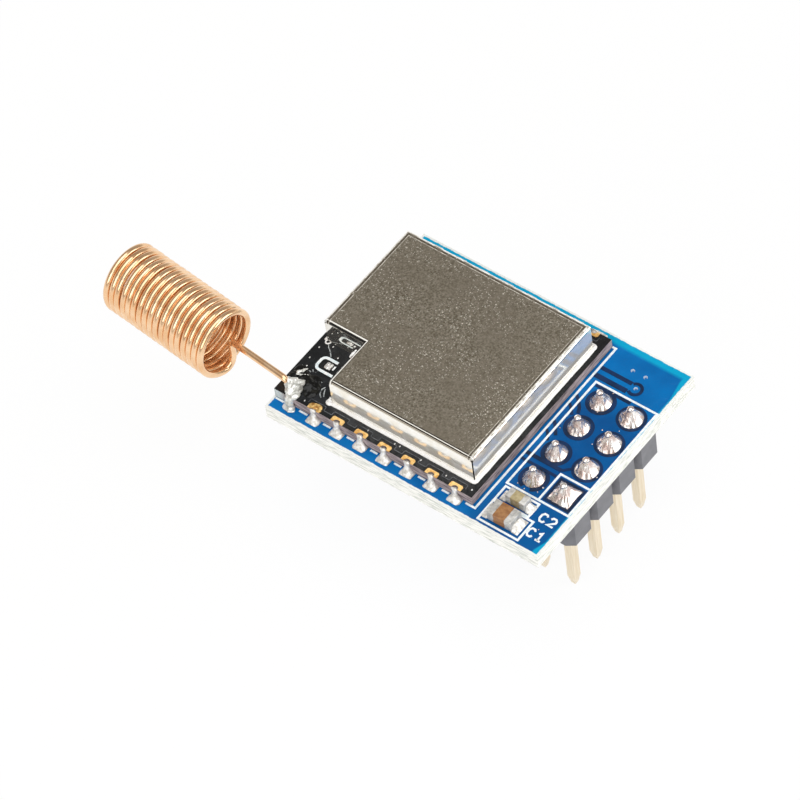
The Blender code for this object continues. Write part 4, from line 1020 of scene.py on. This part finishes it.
def chip_capacitor(name, node, dark, pale, slot):
    """A ceramic block whose two ends are tinned over a share of its length."""
    finish, tree, shader, place = start_finish(name + "_ceramic_and_tin", 0.42)
    waver = add_node(tree, "MULTIPLY_ADD", patches(place, 0.3, 0.2, 0.8), BAND_WAVER,
                     from_middle(place, "X"))
    end = add_node(tree, "MapRange", waver, 0.5 - TINNED_SHARE, 0.51 - TINNED_SHARE)
    surface = add_node(tree, "Mix", end, mottled(place, 0.25, dark, pale),
                       mottled(place, 0.3, "A9A8A4", "D9D8D4", 0.3, 0.6, 3.0))
    feed(shader, Base_Color=surface, Metallic=add_node(tree, "MULTIPLY", end, 0.5))
    relief(shader, place, (0.3, 0.004), (0.07, 0.002))
    low, high = (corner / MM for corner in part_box(node))
    block = bmesh.new()
    bmesh.ops.create_cube(block, size=1.0, matrix=Matrix.Translation((low + high) / 2)
                          @ Matrix.Diagonal((*(high - low), 1.0)))
    bmesh.ops.bevel(block, geom=block.edges[:], offset=SOFT_EDGE, segments=4, profile=0.5,
                    affect="EDGES")
    make_piece(name, block, finish, slot, node, smooth=True)


chip_capacitor("capacitor_c1_body", "capacitor_c1", "8E6037", "A97A4B", "orange_tan_ceramic")
chip_capacitor("capacitor_c2_body", "capacitor_c2", "A2926A", "BEB08A", "pale_tan_ceramic")
for capacitor in ("c1", "c2"):
    for end, toward, climb in (("left", -1, 0.6), ("right", 1, 0.95)):
        node = f"capacitor_{capacitor}_solder_{end}"
        low, high = (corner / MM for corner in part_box(node))
        inner, outer = (low.x, high.x) if toward == 1 else (high.x, low.x)
        loops = []
        for i in range(FILLET_STEPS + 1):
            share = i / FILLET_STEPS
            x = inner + (outer - inner) * share
            rise = 0.03 + climb * (high.z - low.z - 0.05) * (1 - share) ** 1.7
            loop = [(x, low.y, low.z), (x, high.y, low.z)]
            for k in range(CROWN_STEPS + 1):
                y = high.y + (low.y - high.y) * k / CROWN_STEPS
                crown = min(1.0, 3.2 * min(k + 0.6, CROWN_STEPS + 0.6 - k) / CROWN_STEPS)
                lump = 0.09 * noise.noise(Vector((4 * x, 4 * y, toward)))
                lump *= math.sin(math.pi * share)
                loop.append((x, y, low.z + 0.02 + max(0.0, rise * crown + lump)))
            loops.append(loop)
        fillet = bmesh.new()
        skin(fillet, loops)
        make_piece(f"capacitor_{capacitor}_fillet_{end}", fillet, edge_tin, "solder", node,
                   smooth=True)

# ---- Chips under the shield ----
# Hidden in the closed can, and finished plainly: moulded packages, a lidded crystal, and small
# fired parts with tinned ends.
moulded = plain_finish("moulded_chip_epoxy", 0.55, (0.6, "26262A", "34343A"), (0.06, 0.006))
lid = plain_finish("plated_crystal_lid", 0.3, (0.8, "C6BEA8", "DED8C8"), (0.1, 0.004), 1.0)
small_part, tree, shader, place = start_finish("fired_chip_part_with_tinned_ends", 0.45)
end = add_node(tree, "GREATER_THAN", from_middle(place, "Y"), 0.25)
surface = add_node(tree, "Mix", end, mottled(place, 0.2, "8C7350", "A58A62"), "DAD9D6")
feed(shader, Base_Color=surface, Metallic=end)
for finish, nodes in (
        (moulded, ("transceiver_chip", "antenna_switch_chip")), (lid, ("crystal",)),
        (small_part, [f"matching_inductor_{i}" for i in (1, 2, 3)]),
        (small_part, [f"bypass_capacitor_{i}" for i in (1, 2, 3, 4)])):
    for node in nodes:
        dress(node, finish)

# ---- Floor, light and camera ----
# A white studio table under a large soft box, with two smaller ones to the right and in front, and
# the camera where the photograph was taken.
FLOOR_Z = -6.22
FLOOR_REACH = 1500
FLOOR_CORNER, FLOOR_THICKNESS = 100, 20
FLOOR_WHITE = 0.945

white_table, tree, shader, place = start_finish("white_studio_table", 0.9)
feed(shader, Base_Color=mottled(place, 60, "FBFBFB", "FFFFFF"))
rays = add_node(tree, "LightPath")
seen = rays.outputs["Is Camera Ray"]
for kind in ("Glossy", "Transmission"):
    seen = add_node(tree, "MAXIMUM", seen, rays.outputs[f"Is {kind} Ray"])
share = add_node(tree, "MULTIPLY", seen, FLOOR_WHITE)
glow = add_node(tree, "Emission", Color="FFFFFF", Strength=1.0)
feed(tree.nodes["Material Output"], Surface=add_node(tree, "MixShader", share, shader, glow))
table_shape = bmesh.new()
plate(table_shape, rounded_box(-FLOOR_REACH, -FLOOR_REACH, FLOOR_REACH, FLOOR_REACH, FLOOR_CORNER),
      FLOOR_Z - FLOOR_THICKNESS, FLOOR_Z)
table = make_object("studio_table", table_shape, white_table)
table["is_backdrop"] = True

# The room is dim at half height, so that metal shows dark lines, and pale overhead
ROOM = ((0.02, (0.8, 0.78, 0.76, 1.0)), (0.12, (0.5, 0.46, 0.42, 1.0)),
        (0.5, (0.34, 0.31, 0.28, 1.0)), (0.76, (0.32, 0.3, 0.28, 1.0)),
        (0.88, (0.62, 0.61, 0.6, 1.0)), (1.0, (1.0, 1.0, 1.0, 1.0)))
world = bpy.data.worlds.new("studio")
world.use_nodes = True
bpy.context.scene.world = world
tree = world.node_tree
tree.nodes.clear()
way = add_node(tree, "TexCoord")
up = add_node(tree, "SeparateXYZ", way.outputs["Generated"])
sky = add_node(tree, "ValToRGB", up.outputs["Z"])
for element, (position, colour) in zip(sky.color_ramp.elements, (ROOM[0], ROOM[-1])):
    element.position, element.color = position, colour
for position, colour in ROOM[1:-1]:
    sky.color_ramp.elements.new(position).color = colour
rays = add_node(tree, "LightPath")
seen = add_node(tree, "Mix", rays.outputs["Is Camera Ray"], sky, "FFFFFF")
studio = add_node(tree, "Background", Color=seen, Strength=1.0)
add_node(tree, "OutputWorld", Surface=studio)

for name, spot, aim, width, height, power in (
        ("soft_box_overhead", (50, -85, 420), (0, 0, 1), 380, 540, 0.92),
        ("soft_box_front", (70, -380, 230), (70, -380, 230), 340, 260, 0.55),
        ("soft_box_right", (390, 190, 125), (390, 190, 125), 340, 340, 0.95)):
    lamp = bpy.data.lights.new(name, "AREA")
    lamp.shape = "RECTANGLE"
    lamp.size, lamp.size_y = width * MM, height * MM
    lamp.energy = power
    lamp_object = bpy.data.objects.new(name, lamp)
    lamp_object.location = Vector(spot) * MM
    lamp_object.rotation_euler = Vector(aim).to_track_quat("Z", "Y").to_euler()
    bpy.context.scene.collection.objects.link(lamp_object)

CAMERA_AZIMUTH = math.radians(44.486)
CAMERA_ELEVATION = math.radians(52.045)
CAMERA_ROLL = math.radians(-9.05)
CAMERA_TARGET = Vector((-12.826, -3.457, 3.75))
CAMERA_DISTANCE = 342.53
CAMERA_LENS, CAMERA_SENSOR = 227.7, 36.0
back = Vector((math.sin(CAMERA_AZIMUTH) * math.cos(CAMERA_ELEVATION),
               -math.cos(CAMERA_AZIMUTH) * math.cos(CAMERA_ELEVATION),
               math.sin(CAMERA_ELEVATION)))
level_right = Vector((math.cos(CAMERA_AZIMUTH), math.sin(CAMERA_AZIMUTH), 0.0))
level_up = back.cross(level_right)
right = level_right * math.cos(CAMERA_ROLL) + level_up * math.sin(CAMERA_ROLL)
upward = level_up * math.cos(CAMERA_ROLL) - level_right * math.sin(CAMERA_ROLL)
lens = bpy.data.cameras.new("photo_camera")
lens.lens, lens.sensor_width = CAMERA_LENS, CAMERA_SENSOR
lens.clip_start = 0.01
lens.clip_end = 20.0
camera = bpy.data.objects.new("photo_camera", lens)
spot = (CAMERA_TARGET + back * CAMERA_DISTANCE) * MM
camera.matrix_world = (Matrix.Translation(spot)
                       @ Matrix((right, upward, back)).transposed().to_4x4())
bpy.context.scene.collection.objects.link(camera)
bpy.context.scene.camera = camera
bpy.context.scene.view_settings.view_transform = "Standard"

low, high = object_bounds()
{"cad": [list(cad_low), list(cad_high)], "visual": [list(low), list(high)]}
